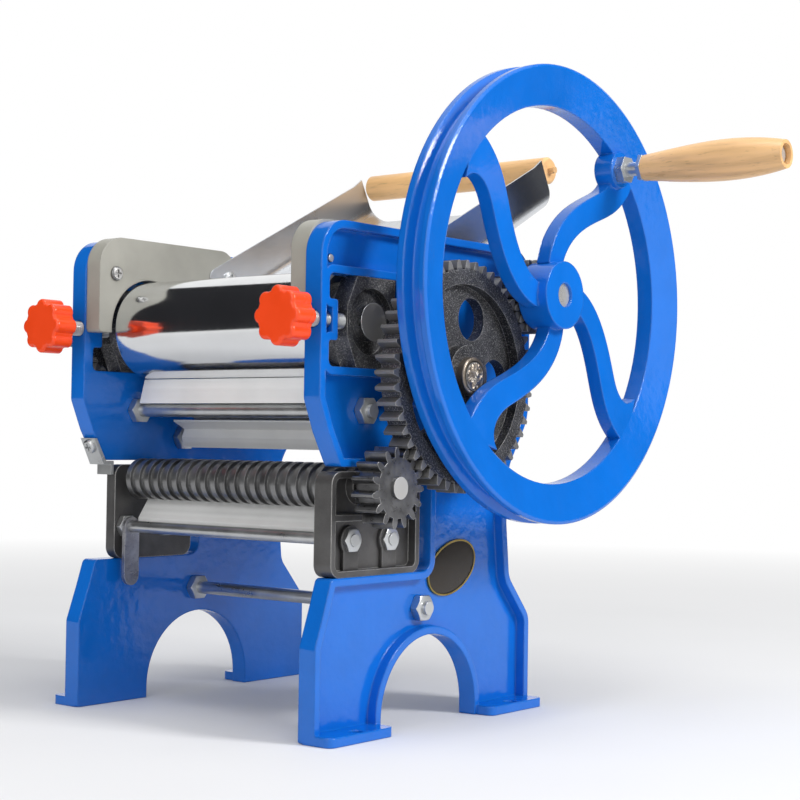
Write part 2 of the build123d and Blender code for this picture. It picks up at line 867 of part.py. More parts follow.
for side, name in ((1, "right"), (-1, "left")):
    knob = adjusting_knob(side)
    knob.label = "knob_" + name
    export_step(knob, "parts/knob_" + name + ".step")
    screw = adjusting_screw(side)
    screw.label = "adjusting_screw_" + name
    export_step(screw, "parts/adjusting_screw_" + name + ".step")

# -------------------------------------------------------------------- cheeks
cheek_inner = frame_inner - cheek_t
cheek_points = [
    (cheek_front, cheek_low),
    (front_axis[0], cheek_low),
    (rear_axis[0], cheek_tail_z),
    (cheek_tail_y, cheek_tail_z),
    (cheek_rear, cheek_rear_top),
    (cheek_top_rear, cheek_top),
    (cheek_front, cheek_top),
]
cheek_face = face_from(cheek_points, [cheek_toe_r, 0, 0, cheek_tail_r, blend_r, blend_r, cheek_round_r])
with BuildPart() as cheek_right:
    with BuildSketch(Plane.YZ.offset(cheek_inner)):
        add(cheek_face)
        with Locations(front_axis, rear_axis):
            Circle(roller_r + cheek_arc_gap, mode=Mode.SUBTRACT)
        with Locations(cheek_screw, tray_screw):
            Circle(small_screw_r + bolt_gap, mode=Mode.SUBTRACT)
    extrude(amount=cheek_t)
cheek_right.part.label = "cheek_right"
export_step(cheek_right.part, "parts/cheek_right.step")

with BuildPart() as cheek_left:
    mirror(cheek_right.part, about=Plane.YZ)
cheek_left.part.label = "cheek_left"
export_step(cheek_left.part, "parts/cheek_left.step")


def pan_screws(place, head_x):
    """A pair of mirrored pan-head screws, heads inside, ends in the frame webs."""
    with BuildPart() as made:
        with BuildSketch(Plane.YZ.offset(head_x - small_head_t)):
            with Locations(place):
                Circle(small_head_r)
        extrude(amount=small_head_t)
        with BuildSketch(Plane.YZ.offset(head_x)):
            with Locations(place):
                Circle(small_screw_r)
        extrude(amount=web_outer + screw_end_out - head_x)
        mirror(about=Plane.YZ)
    return made.part


cheek_screws = pan_screws(cheek_screw, cheek_inner)
cheek_screws.label = "cheek_screws"
export_step(cheek_screws, "parts/cheek_screws.step")

tray_screws = pan_screws(tray_screw, cheek_inner - tray_t)
tray_screws.label = "tray_screws"
export_step(tray_screws, "parts/tray_screws.step")

# ----------------------------------------------------------------- feed tray
slope = math.radians(tray_angle)
tray_plane = Plane(
    origin=(0, tray_start[0] - tray_lead_in * math.cos(slope),
            tray_start[1] - tray_lead_in * math.sin(slope)),
    x_dir=(-1, 0, 0),
    z_dir=(0, math.cos(slope), math.sin(slope)),
)
tray_side = face_from(
    [tray_start, floor_end, wing_rear, wing_tip_back, wing_tip, wing_back, wing_mid, wing_front],
    [0, 0, tray_fold_r, tray_fold_r, tray_fold_r, blend_r, blend_r, wing_corner_r],
)
with BuildSketch() as trough:
    Rectangle(2 * cheek_inner, 2 * tray_depth)
    fillet(trough.vertices().group_by(Axis.Y)[0], tray_bend_r)
trough_face = trough.sketch
with BuildPart() as feed_tray:
    with BuildSketch(tray_plane):
        with Locations((0.0, tray_depth)):
            add(trough_face)
            add(offset(trough_face, amount=-tray_t, mode=Mode.PRIVATE), mode=Mode.SUBTRACT)
    extrude(amount=tray_lead_in + tray_run)
    # the side outline trims the wings, the mouth over the rollers and the rear tips
    with BuildSketch(Plane.YZ):
        add(tray_side)
    extrude(amount=cheek_inner + cut_over, both=True, mode=Mode.INTERSECT)
    with BuildSketch(Plane.YZ.offset(-cheek_inner)):
        with Locations(tray_screw):
            Circle(small_screw_r + bolt_gap)
        with Locations(rod_axis):
            Circle(dough_rod_pin_r + slide_gap)
    extrude(amount=2 * cheek_inner, mode=Mode.SUBTRACT)
feed_tray.part.label = "feed_tray"
export_step(feed_tray.part, "parts/feed_tray.step")

rod_half = cheek_inner - tray_t - slide_gap
rod_profile = turned(rod_axis, [
    (-rod_half - dough_rod_pin, dough_rod_pin_r),
    (-rod_half, dough_rod_pin_r),
    (-rod_half, dough_rod_r - dough_rod_edge),
    (-rod_half + dough_rod_edge, dough_rod_r),
    (rod_half - dough_rod_edge, dough_rod_r),
    (rod_half, dough_rod_r - dough_rod_edge),
    (rod_half, dough_rod_pin_r),
    (rod_half + dough_rod_pin, dough_rod_pin_r),
])
with BuildPart() as dough_rod:
    with BuildSketch(axis_plane(rod_axis)):
        add(rod_profile)
    revolve(axis=x_axis(rod_axis))
dough_rod.part.label = "dough_rod"
export_step(dough_rod.part, "parts/dough_rod.step")


# ------------------------------------------------------ tie rods and scrapers
def round_bar(place, radius, half_length):
    """Plain bar along X, centred between the frames."""
    with BuildPart() as made:
        with BuildSketch(Plane.YZ.offset(-half_length)):
            with Locations(place):
                Circle(radius)
        extrude(amount=2 * half_length)
    return made.part


tie_half = web_outer + nut_t + rod_end
for name, place in (("front", front_tie), ("rear", rear_tie), ("lower", lower_tie)):
    bar = round_bar(place, tie_r, tie_half)
    bar.label = "tie_rod_" + name
    export_step(bar, "parts/tie_rod_" + name + ".step")

with BuildPart() as tie_rod_nuts:
    with BuildSketch(Plane.YZ.offset(web_outer), Plane.YZ.offset(frame_inner - nut_t)):
        with Locations(front_tie, rear_tie, lower_tie):
            RegularPolygon(nut_af / 2, 6, major_radius=False)
            Circle(tie_r + running_gap, mode=Mode.SUBTRACT)
    extrude(amount=nut_t)
    mirror(about=Plane.YZ)
tie_rod_nuts.part.label = "tie_rod_nuts"
export_step(tie_rod_nuts.part, "parts/tie_rod_nuts.step")

front_edge = polar(roller_r + seat_gap, scraper_front_angle, front_axis)
rear_edge = polar(roller_r + seat_gap, scraper_rear_angle, rear_axis)
front_seat_z = front_tie[1] + tie_r + seat_gap
rear_seat_z = rear_tie[1] + tie_r + seat_gap
rear_seat_y = rear_tie[0] - tie_r - seat_gap
# the front scraper rests on its rod: an edge under the roller, a lip and a shelf
with BuildPart() as scraper_front:
    with BuildSketch(Plane.YZ.offset(-scraper_half)):
        with BuildLine():
            Polyline(
                front_edge,
                (front_edge[0] - scraper_wall, front_edge[1] - scraper_shelf),
                (front_tie[0] - scraper_lip_out, front_seat_z),
                (front_tie[0] + scraper_wall, front_seat_z),
                (front_tie[0] + scraper_wall, front_seat_z + scraper_lip_drop),
                (front_tie[0] + scraper_shelf, front_seat_z + scraper_lip_drop + scraper_shelf_rise),
                (front_tie[0] + scraper_shelf - scraper_wall,
                 front_seat_z + scraper_lip_drop + scraper_shelf_rise + scraper_wall / 2),
                (front_tie[0], front_seat_z + scraper_lip_drop + scraper_wall),
                (front_edge[0] + scraper_wall / 2, front_edge[1] - scraper_wall / 2),
                close=True,
            )
        make_face()
    extrude(amount=2 * scraper_half)
scraper_front.part.label = "scraper_front"
export_step(scraper_front.part, "parts/scraper_front.step")

# the rear scraper hugs its rod from above and in front, with a catching lip
with BuildPart() as scraper_rear:
    with BuildSketch(Plane.YZ.offset(-scraper_half)):
        with BuildLine():
            Polyline(
                rear_edge,
                (rear_edge[0] - scraper_catch, rear_edge[1]),
                (rear_edge[0] - scraper_catch, rear_edge[1] - scraper_wall / 2),
                (rear_seat_y - scraper_wall, rear_seat_z + scraper_wall / 2),
                (rear_seat_y - 2 * scraper_wall, rear_tie[1]),
                (rear_seat_y - scraper_wall, rear_tie[1] - scraper_lip_out),
                (rear_seat_y, rear_tie[1] - scraper_lip_out),
                (rear_seat_y, rear_seat_z),
                (rear_tie[0] + tie_r, rear_seat_z),
                (rear_tie[0] + tie_r, rear_seat_z + scraper_wall),
                close=True,
            )
        make_face()
    extrude(amount=2 * scraper_half)
scraper_rear.part.label = "scraper_rear"
export_step(scraper_rear.part, "parts/scraper_rear.step")


# ------------------------------------------------------------ cutter cassette
def cassette_plate(inner_x, thickness, recess, front_y, direction):
    """Cast end plate of the cassette with a rim and a cross rib on its outer side."""
    mid_y = (front_y + cassette_rear) / 2
    mid_z = (ledge_z + cassette_top) / 2
    width = cassette_rear - front_y
    height = cassette_top - ledge_z
    with BuildPart() as made:
        with BuildSketch(Plane.YZ.offset(inner_x)):
            with Locations((mid_y, mid_z)):
                RectangleRounded(width, height, cassette_corner_r)
            with Locations(cutter_front_axis, cutter_rear_axis):
                Circle(cutter_journal_r + running_gap, mode=Mode.SUBTRACT)
            with Locations(*cassette_rods):
                Circle(cassette_rod_r + bolt_gap, mode=Mode.SUBTRACT)
        extrude(amount=direction * thickness)
        with BuildSketch(Plane.YZ.offset(inner_x + direction * (thickness - recess))):
            with Locations((mid_y, mid_z)):
                RectangleRounded(width - 2 * cassette_rim_w, height - 2 * cassette_rim_w,
                                 cassette_corner_r - cassette_rim_w)
            with Locations((mid_y, cassette_rods[0][1] + cassette_nut_af)):
                Rectangle(width, cassette_rib_t, mode=Mode.SUBTRACT)
            with Locations(cutter_front_axis, cutter_rear_axis):
                Circle(cutter_journal_r + cassette_rim_w, mode=Mode.SUBTRACT)
        extrude(amount=direction * recess, mode=Mode.SUBTRACT)
    return made.part


cassette_plate_right = cassette_plate(cassette_right_in, cassette_right_t,
                                      cassette_recess, cassette_front, 1)
cassette_plate_right.label = "cassette_plate_right"
export_step(cassette_plate_right, "parts/cassette_plate_right.step")
cassette_plate_left = cassette_plate(cassette_left_in, cassette_left_t,
                                     cassette_left_recess, cassette_left_front, -1)
cassette_plate_left.label = "cassette_plate_left"
export_step(cassette_plate_left, "parts/cassette_plate_left.step")

cassette_left_face = cassette_left_in - cassette_left_t + cassette_left_recess
cassette_right_face = cassette_right_in + cassette_right_t - cassette_recess
rods_left = cassette_left_face
rods_right = cassette_right_face + cassette_nut_t + rod_end_out
with BuildPart() as cassette_tie_rods:
    with BuildSketch(Plane.YZ.offset(rods_left)):
        with Locations(*cassette_rods):
            Circle(cassette_rod_r)
    extrude(amount=rods_right - rods_left)
cassette_tie_rods.part.label = "cassette_tie_rods"
export_step(cassette_tie_rods.part, "parts/cassette_tie_rods.step")

with BuildPart() as cassette_nuts:
    with BuildSketch(
        Plane.YZ.offset(cassette_right_face),
        Plane.YZ.offset(cassette_right_in - cassette_nut_t),
        Plane.YZ.offset(cassette_left_in),
    ):
        with Locations(*cassette_rods):
            RegularPolygon(cassette_nut_af / 2, 6, major_radius=False)
            Circle(cassette_rod_r + running_gap, mode=Mode.SUBTRACT)
    extrude(amount=cassette_nut_t)
cassette_nuts.part.label = "cassette_nuts"
export_step(cassette_nuts.part, "parts/cassette_nuts.step")

ring_start = -ring_pitch * (ring_count - 0.5) / 2


def cutter_profile(first_ring, left_end, right_end):
    """Ringed roller: cutting rings a pitch apart with grooves between them."""
    steps = [(left_end, cutter_journal_r - running_gap)]
    body_left = ring_start - ring_pitch / 2
    body_right = ring_start + ring_pitch * ring_count
    steps.append((body_left, cutter_journal_r - running_gap))
    steps.append((body_left, ring_groove_r))
    for ring in range(ring_count):
        low = first_ring + ring * ring_pitch - ring_w / 2
        steps.append((low, ring_groove_r))
        steps.append((low, ring_r))
        steps.append((low + ring_w, ring_r))
        steps.append((low + ring_w, ring_groove_r))
    steps.append((body_right, ring_groove_r))
    steps.append((body_right, cutter_journal_r - running_gap))
    steps.append((right_end, cutter_journal_r - running_gap))
    return steps


cutter_left_end = cassette_left_in - cassette_left_t
front_cutter_steps = cutter_profile(ring_start, cutter_left_end,
                                    cutter_pinion_x + cutter_pinion_t + cutter_end_out)
with BuildPart() as cutter_roller_front:
    with BuildSketch(axis_plane(cutter_front_axis)):
        add(turned(cutter_front_axis, front_cutter_steps))
    revolve(axis=x_axis(cutter_front_axis))
cutter_roller_front.part.label = "cutter_roller_front"
export_step(cutter_roller_front.part, "parts/cutter_roller_front.step")

rear_cutter_steps = cutter_profile(ring_start + ring_pitch / 2, cutter_left_end,
                                   cutter_gear_x + cutter_gear_t + rod_end_out)
with BuildPart() as cutter_roller_rear:
    with BuildSketch(axis_plane(cutter_rear_axis)):
        add(turned(cutter_rear_axis, rear_cutter_steps))
    revolve(axis=x_axis(cutter_rear_axis))
cutter_roller_rear.part.label = "cutter_roller_rear"
export_step(cutter_roller_rear.part, "parts/cutter_roller_rear.step")

cutter_pinion_phase = meshing_phase(rear_axis, 0.0, drive_teeth, cutter_front_axis, pinion_teeth)
cutter_pinion_face = gear_face(gear_module, pinion_teeth, cutter_pinion_phase,
                               long_addendum, full_dedendum)
with BuildPart() as cutter_pinion:
    with BuildSketch(Plane.YZ.offset(cutter_pinion_x)):
        with Locations(cutter_front_axis):
            add(cutter_pinion_face)
            Circle(cutter_journal_r, mode=Mode.SUBTRACT)
    extrude(amount=cutter_pinion_t)
cutter_pinion.part.label = "cutter_pinion"
export_step(cutter_pinion.part, "parts/cutter_pinion.step")

cutter_front_face = gear_face(cutter_module, cutter_teeth, 0.0, cutter_addendum, cutter_dedendum)
with BuildPart() as cutter_gear_front:
    with BuildSketch(Plane.YZ.offset(cutter_gear_x)):
        with Locations(cutter_front_axis):
            add(cutter_front_face)
            Circle(cutter_journal_r, mode=Mode.SUBTRACT)
    extrude(amount=cutter_gear_t)
cutter_gear_front.part.label = "cutter_gear_front"
export_step(cutter_gear_front.part, "parts/cutter_gear_front.step")

cutter_rear_phase = meshing_phase(cutter_front_axis, 0.0, cutter_teeth,
                                  cutter_rear_axis, cutter_teeth)
cutter_rear_face = gear_face(cutter_module, cutter_teeth, cutter_rear_phase,
                             cutter_addendum, cutter_dedendum)
with BuildPart() as cutter_gear_rear:
    with BuildSketch(Plane.YZ.offset(cutter_gear_x)):
        with Locations(cutter_rear_axis):
            add(cutter_rear_face)
            Circle(cutter_journal_r, mode=Mode.SUBTRACT)
    extrude(amount=cutter_gear_t)
cutter_gear_rear.part.label = "cutter_gear_rear"
export_step(cutter_gear_rear.part, "parts/cutter_gear_rear.step")


def comb(rod, side, axis, angle, first_ring):
    """Stripping comb: a bent strip against its rod, its fingers in the grooves."""
    tip = Vector(*polar(ring_groove_r + comb_tip_gap, angle, axis))
    near = rod[0] + side * (cassette_rod_r + seat_gap)
    far = near + side * comb_t
    lean = (tip - Vector(near, rod[1] + comb_rise)).normalized()
    across = Vector(lean.Y, -lean.X) * side * comb_t
    with BuildPart() as made:
        with BuildSketch(Plane.YZ.offset(-comb_half)):
            with BuildLine():
                Polyline(
                    (near, rod[1] - comb_drop),
                    (near, rod[1] + comb_rise),
                    tip,
                    tip + across,
                    (far, rod[1] + comb_rise - comb_t / 2),
                    (far, rod[1] - comb_drop),
                    close=True,
                )
            make_face()
        extrude(amount=2 * comb_half)
        slots = []
        for ring in range(ring_count):
            middle = first_ring + ring * ring_pitch
            slots.append(Plane.YZ.offset(middle - ring_w / 2 - slide_gap))
        with BuildSketch(*slots):
            with Locations(axis):
                Circle(ring_r + comb_gap)
        extrude(amount=ring_w + 2 * slide_gap, mode=Mode.SUBTRACT)
    return made.part


cassette_comb_front = comb(cassette_rods[0], 1, cutter_front_axis, comb_angle, ring_start)
cassette_comb_front.label = "cassette_comb_front"
export_step(cassette_comb_front, "parts/cassette_comb_front.step")
cassette_comb_rear = comb(cassette_rods[1], -1, cutter_rear_axis, -180 - comb_angle,
                          ring_start + ring_pitch / 2)
cassette_comb_rear.label = "cassette_comb_rear"
export_step(cassette_comb_rear, "parts/cassette_comb_rear.step")

tab_pivot = cassette_rods[0]
tab_x = cassette_left_in + cassette_nut_t + seat_gap
with BuildPart() as latch_tab:
    with BuildSketch(Plane.YZ.offset(tab_x)):
        with Locations((tab_pivot[0], tab_pivot[1] - tab_length / 2)):
            SlotOverall(tab_length + tab_w, tab_w, rotation=90)
        with Locations(tab_pivot):
            Circle(cassette_rod_r + running_gap, mode=Mode.SUBTRACT)
    extrude(amount=tab_t)
latch_tab.part.label = "latch_tab"
export_step(latch_tab.part, "parts/latch_tab.step")

# ------------------------------------------------------- hook bracket, plaque
hook_face_y = cassette_left_front - seat_gap
slope_run = (lug_slope_z - head_z) / (lug_front - lug_slope_y)
with BuildPart() as hook_bracket:
    with BuildSketch(Plane.YZ.offset(hook_out)):
        with BuildLine():
            Polyline(
                (hook_face_y, hook_low),
                (hook_face_y, cassette_top + hook_t),
                (lug_front - seat_gap, cassette_top + hook_t),
                (lug_front - (hook_top - head_z) / slope_run - seat_gap, hook_top),
                (lug_front - (hook_top - head_z) / slope_run - seat_gap - hook_t, hook_top),
                (lug_front - hook_t, cassette_top),
                (hook_face_y - hook_t, cassette_top),
                (hook_face_y - hook_t, hook_low),
                close=True,
            )
        make_face()
    extrude(amount=hook_w)
hook_bracket.part.label = "hook_bracket"
export_step(hook_bracket.part, "parts/hook_bracket.step")

leg_low = Vector(0.0, lug_front - hook_t, cassette_top)
leg_top = Vector(0.0, lug_front - (hook_top - head_z) / slope_run - seat_gap - hook_t, hook_top)
leg_share = (hook_screw_z - leg_low.Z) / (leg_top.Z - leg_low.Z)
screw_seat = leg_low + (leg_top - leg_low) * leg_share + Vector(hook_out + hook_w / 2, 0.0, 0.0)
leg_normal = (leg_top - leg_low).cross(Vector(1.0, 0.0, 0.0)).normalized()
with BuildPart() as hook_screw:
    with BuildSketch(Plane(origin=screw_seat, x_dir=(1, 0, 0), z_dir=-leg_normal)):
        Circle(small_head_r)
    extrude(amount=small_head_t)
hook_screw.part.label = "hook_screw"
export_step(hook_screw.part, "parts/hook_screw.step")

with BuildPart() as oval_plaque:
    with BuildSketch(Plane.YZ.offset(web_outer)):
        with Locations(plaque_at):
            Ellipse(plaque_w / 2, plaque_h / 2, rotation=plaque_tilt)
    extrude(amount=plaque_t)
oval_plaque.part.label = "oval_plaque"
export_step(oval_plaque.part, "parts/oval_plaque.step")
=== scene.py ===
import math

import bmesh
import bpy
from bpy.props import FloatProperty, FloatVectorProperty, PointerProperty
from mathutils import Matrix, Vector


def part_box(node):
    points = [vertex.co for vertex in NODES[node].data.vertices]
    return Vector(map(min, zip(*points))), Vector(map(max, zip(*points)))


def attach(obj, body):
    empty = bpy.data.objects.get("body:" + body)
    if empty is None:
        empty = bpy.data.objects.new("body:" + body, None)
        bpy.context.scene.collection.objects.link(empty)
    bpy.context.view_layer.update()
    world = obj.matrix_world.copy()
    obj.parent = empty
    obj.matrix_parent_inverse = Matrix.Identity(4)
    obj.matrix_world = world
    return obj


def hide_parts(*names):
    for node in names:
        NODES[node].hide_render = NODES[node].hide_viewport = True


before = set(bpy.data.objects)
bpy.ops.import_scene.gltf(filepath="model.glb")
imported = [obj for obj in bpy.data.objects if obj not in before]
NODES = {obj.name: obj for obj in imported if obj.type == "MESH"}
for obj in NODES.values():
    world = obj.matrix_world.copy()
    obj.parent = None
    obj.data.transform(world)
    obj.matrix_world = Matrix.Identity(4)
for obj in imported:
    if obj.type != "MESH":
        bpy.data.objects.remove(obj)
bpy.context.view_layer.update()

bl_info = {
    "name": "Hand-Cranked Noodle Machine",
    "version": (1, 0, 0),
    "blender": (4, 5, 0),
    "location": "View3D > Sidebar > Noodle Machine",
    "description": "Finishes, fasteners and studio for a hand-cranked noodle machine",
    "category": "Object",
}

TOUCH = 1e-6            # places closer than this are the same place
EDGE_BLEND = 0.0006     # width over which one finish gives way to another
# A Mix node has a socket for each kind of data; these are its colour sockets.
MIX_UNDER, MIX_OVER, MIX_RESULT = 6, 7, 2


# ------------------------------------------------------------------ settings
def colour_property(name, description, default):
    return FloatVectorProperty(
        name=name, description=description, subtype="COLOR", size=3, min=0.0, max=1.0,
        default=default,
    )


def length_property(name, description, default):
    return FloatProperty(
        name=name, description=description, default=default, min=0.0, subtype="DISTANCE",
        unit="LENGTH",
    )


class NoodleFinishSettings(bpy.types.PropertyGroup):
    """Colours of the machine's finishes."""

    enamel: colour_property("Enamel", "Blue enamel of the frames and the wheel", (0.004, 0.150, 0.62))
    iron: colour_property("Cast iron", "Sandy castings and the large gears", (0.060, 0.060, 0.064))
    plate: colour_property("Blackened iron", "Cassette plates", (0.080, 0.078, 0.077))
    milled: colour_property("Milled steel", "Cutter pinion and cutter gears", (0.20, 0.20, 0.205))
    # Bare metal colour: rubbed edges and bare ends, and also the iron's painted glints and the
    # teeth's partly painted highlight.
    bare_and_glint: colour_property("Bare edge", "Rubbed edges of castings and teeth", (0.56, 0.55, 0.53))
    peened: colour_property("Peened end", "Hammered end of the rear shaft", (0.26, 0.22, 0.18))
    chrome: colour_property("Chrome", "Sheeting rollers", (0.80, 0.81, 0.82))
    steel: colour_property("Turned steel", "Cutter rollers", (0.27, 0.27, 0.27))
    zinc: colour_property("Zinc", "Rods, nuts and screws", (0.56, 0.57, 0.57))
    tab: colour_property("Satin steel", "Latch tab", (0.44, 0.44, 0.47))
    cream: colour_property("Cream plastic", "Cheeks beside the rollers", (0.37, 0.36, 0.315))
    red: colour_property("Red plastic", "Adjusting knobs", (1.0, 0.070, 0.008))
    wood: colour_property("Wood", "Grip and dough rod", (0.90, 0.54, 0.24))
    aluminium: colour_property("Aluminium", "Scrapers and combs", (0.93, 0.93, 0.915))
    stainless: colour_property("Stainless", "Feed tray", (0.66, 0.68, 0.71))
    plaque: colour_property("Plaque", "Dark field of the oval plaque", (0.020, 0.014, 0.009))
    brass: colour_property("Plaque edge", "Thin bright edge of the plaque", (0.45, 0.33, 0.10))


class NoodleFastenerSettings(bpy.types.PropertyGroup):
    """Sizes of the small fasteners."""

    tooth_height: length_property("Tooth height", "Height of the large gears' teeth", 0.0056)
    journal_radius: length_property("Journal radius", "Radius of the cutter journals", 0.0072)
    thread_pitch: length_property("Thread pitch", "Pitch of the adjusting screws", 0.0015)
    thread_depth: length_property("Thread depth", "Depth of the thread cut", 0.0008)
    cassette_nut_height: length_property("Cassette nut", "Height of the cassette's nuts", 0.005)
    rod_radius: length_property("Rod radius", "Radius of the cassette's rods", 0.004)
    boss_radius: length_property("Boss radius", "Radius of the cassette's bosses", 0.0095)
    boss_height: length_property("Boss height", "Height of the cassette's bosses", 0.0026)
    plate_rim: length_property("Plate rim", "Width of the cassette plate's rim", 0.004)
    nut_chamfer: length_property("Nut chamfer", "Chamfer on the corners of a nut", 0.0012)
    head_height: length_property("Head height", "Height of a cross-recess head", 0.0025)
    hook_head_radius: length_property("Hook head", "Radius of the hook screw's head", 0.005)
    shank_radius: length_property("Shank radius", "Radius of the cheek and tray screws", 0.0025)
    cross_width: length_property("Cross width", "Width of a cross recess", 0.0013)
    cross_depth: length_property("Cross depth", "Depth of a cross recess", 0.0014)


class NoodlePlaqueSettings(bpy.types.PropertyGroup):
    """Sizes of the oval plaque."""

    width: length_property("Width", "Long way across the oval", 0.054)
    height: length_property("Height", "Short way across the oval", 0.034)
    edge: length_property("Edge", "Width of the bright edge", 0.0012)
    tilt: FloatProperty(name="Tilt", description="Turn of the oval on the frame",
                        default=math.radians(20.0), subtype="ANGLE", unit="ROTATION")


class NoodleStageSettings(bpy.types.PropertyGroup):
    """Camera, light and floor."""

    focal: FloatProperty(name="Lens", description="Focal length on a 36 mm sensor",
                         default=76.4, min=20.0, max=300.0, unit="CAMERA")
    yaw: FloatProperty(name="Yaw", description="Camera turn from the +Y view",
                       default=math.radians(38.56), subtype="ANGLE", unit="ROTATION")
    pitch: FloatProperty(name="Pitch", description="Camera tilt above level",
                         default=math.radians(1.29), subtype="ANGLE", unit="ROTATION")
    roll: FloatProperty(name="Roll", description="Camera roll",
                        default=math.radians(0.84), subtype="ANGLE", unit="ROTATION")
    place: FloatVectorProperty(name="Camera place", description="Where the camera stands",
                               size=3, default=(0.78608, -0.87968, 0.18498),
                               subtype="TRANSLATION", unit="LENGTH")
    key_power: FloatProperty(name="Key light", description="Power of the key light",
                             default=36.0, min=0.0, unit="POWER")
    fill_power: FloatProperty(name="Fill light", description="Power of the fill light",
                              default=9.0, min=0.0, unit="POWER")
    top_power: FloatProperty(name="Top light", description="Power of the top light",
                             default=18.0, min=0.0, unit="POWER")
    sky: FloatProperty(name="Sky", description="Strength of the even light all round",
                       default=0.40, min=0.0)


# ----------------------------------------------------------------- materials
class Shader:
    """A Principled material with helpers for its pattern nodes."""

    def __init__(self, name):
        self.material = bpy.data.materials.new(name)
        self.material.use_nodes = True
        self.tree = self.material.node_tree
        self.tree.nodes.clear()
        self.out = self.tree.nodes.new("ShaderNodeOutputMaterial")
        self.body = self.tree.nodes.new("ShaderNodeBsdfPrincipled")
        self.tree.links.new(self.body.outputs["BSDF"], self.out.inputs["Surface"])
        self.where = self.tree.nodes.new("ShaderNodeTexCoord")

    def set(self, **values):
        for key, value in values.items():
            self.body.inputs[key.replace("_", " ")].default_value = value
        return self

    def mapped(self, scale=(1.0, 1.0, 1.0), turn=(0.0, 0.0, 0.0)):
        node = self.tree.nodes.new("ShaderNodeMapping")
        node.inputs["Scale"].default_value = scale
        node.inputs["Rotation"].default_value = turn
        self.tree.links.new(self.where.outputs["Object"], node.inputs["Vector"])
        return node.outputs["Vector"]

    def noise(self, vector, scale, detail=3.0, roughness=0.55, distortion=0.0):
        node = self.tree.nodes.new("ShaderNodeTexNoise")
        node.inputs["Scale"].default_value = scale
        node.inputs["Detail"].default_value = detail
        node.inputs["Roughness"].default_value = roughness
        node.inputs["Distortion"].default_value = distortion
        self.tree.links.new(vector, node.inputs["Vector"])
        return node.outputs["Fac"]

    def ramp(self, fac, stops):
        node = self.tree.nodes.new("ShaderNodeValToRGB")
        while len(node.color_ramp.elements) < len(stops):
            node.color_ramp.elements.new(0.5)
        for element, (place, colour) in zip(node.color_ramp.elements, stops):
            element.position = place
            element.color = (*colour, 1.0)
        self.tree.links.new(fac, node.inputs["Fac"])
        return node.outputs["Color"]

    def span(self, fac, low, high, lowest=0.3, highest=0.7):
        node = self.tree.nodes.new("ShaderNodeMapRange")
        node.inputs["From Min"].default_value = lowest
        node.inputs["From Max"].default_value = highest
        node.inputs["To Min"].default_value = low
        node.inputs["To Max"].default_value = high
        self.tree.links.new(fac, node.inputs["Value"])
        return node.outputs["Result"]

    def bump(self, height, distance, strength=1.0, before=None):
        node = self.tree.nodes.new("ShaderNodeBump")
        node.inputs["Distance"].default_value = distance
        node.inputs["Strength"].default_value = strength
        self.tree.links.new(height, node.inputs["Height"])
        if before is not None:
            self.tree.links.new(before, node.inputs["Normal"])
        return node.outputs["Normal"]

    def rounded(self, radius):
        """Normal that rolls over sharp corners, as paint and wear do."""
        node = self.tree.nodes.new("ShaderNodeBevel")
        node.samples = 6
        node.inputs["Radius"].default_value = radius
        return node.outputs["Normal"]

    def edges(self, radius, sharp=0.86, flat=0.985):
        """One along corners and nothing on flats."""
        geometry = self.tree.nodes.new("ShaderNodeNewGeometry")
        turn = self.tree.nodes.new("ShaderNodeVectorMath")
        turn.operation = "DOT_PRODUCT"
        self.tree.links.new(self.rounded(radius), turn.inputs[0])
        self.tree.links.new(geometry.outputs["Normal"], turn.inputs[1])
        return self.span(turn.outputs["Value"], 1.0, 0.0, sharp, flat)

    def facing_x(self):
        """One on faces cut square to the X axis."""
        split = self.tree.nodes.new("ShaderNodeSeparateXYZ")
        self.tree.links.new(self.where.outputs["Normal"], split.inputs[0])
        size = self.tree.nodes.new("ShaderNodeMath")
        size.operation = "ABSOLUTE"
        self.tree.links.new(split.outputs["X"], size.inputs[0])
        return self.span(size.outputs["Value"], 0.0, 1.0, 0.90, 0.97)

    def within(self, y, z, radius):
        """One nearer than the radius to an axis along X."""
        return self.span(self.distance(y, z), 1.0, 0.0, radius, radius + EDGE_BLEND)

    def beyond(self, y, z, radius):
        """One further than the radius from an axis along X."""
        return self.span(self.distance(y, z), 0.0, 1.0, radius, radius + EDGE_BLEND)

    def distance(self, y, z):
        """How far each point is from an axis along X."""
        moved = self.tree.nodes.new("ShaderNodeVectorMath")
        moved.operation = "SUBTRACT"
        moved.inputs[1].default_value = (0.0, y, z)
        self.tree.links.new(self.where.outputs["Object"], moved.inputs[0])
        flat = self.tree.nodes.new("ShaderNodeVectorMath")
        flat.operation = "MULTIPLY"
        flat.inputs[1].default_value = (0.0, 1.0, 1.0)
        self.tree.links.new(moved.outputs["Vector"], flat.inputs[0])
        far = self.tree.nodes.new("ShaderNodeVectorMath")
        far.operation = "LENGTH"
        self.tree.links.new(flat.outputs["Vector"], far.inputs[0])
        return far.outputs["Value"]

    def times(self, first, second):
        node = self.tree.nodes.new("ShaderNodeMath")
        node.operation = "MULTIPLY"
        self.tree.links.new(first, node.inputs[0])
        self.tree.links.new(second, node.inputs[1])
        return node.outputs["Value"]

    def over(self, share, under, colour):
        """Lays a colour over another by the share."""
        node = self.tree.nodes.new("ShaderNodeMix")
        node.data_type = "RGBA"
        self.tree.links.new(share, node.inputs[0])
        self.tree.links.new(under, node.inputs[MIX_UNDER])
        node.inputs[MIX_OVER].default_value = (*colour, 1.0)
        return node.outputs[MIX_RESULT]

    def link(self, output, socket):
        self.tree.links.new(output, self.body.inputs[socket])


def shade(colour, share):
    """The colour made darker or lighter by the share."""
    return tuple(min(1.0, c * share) for c in colour)


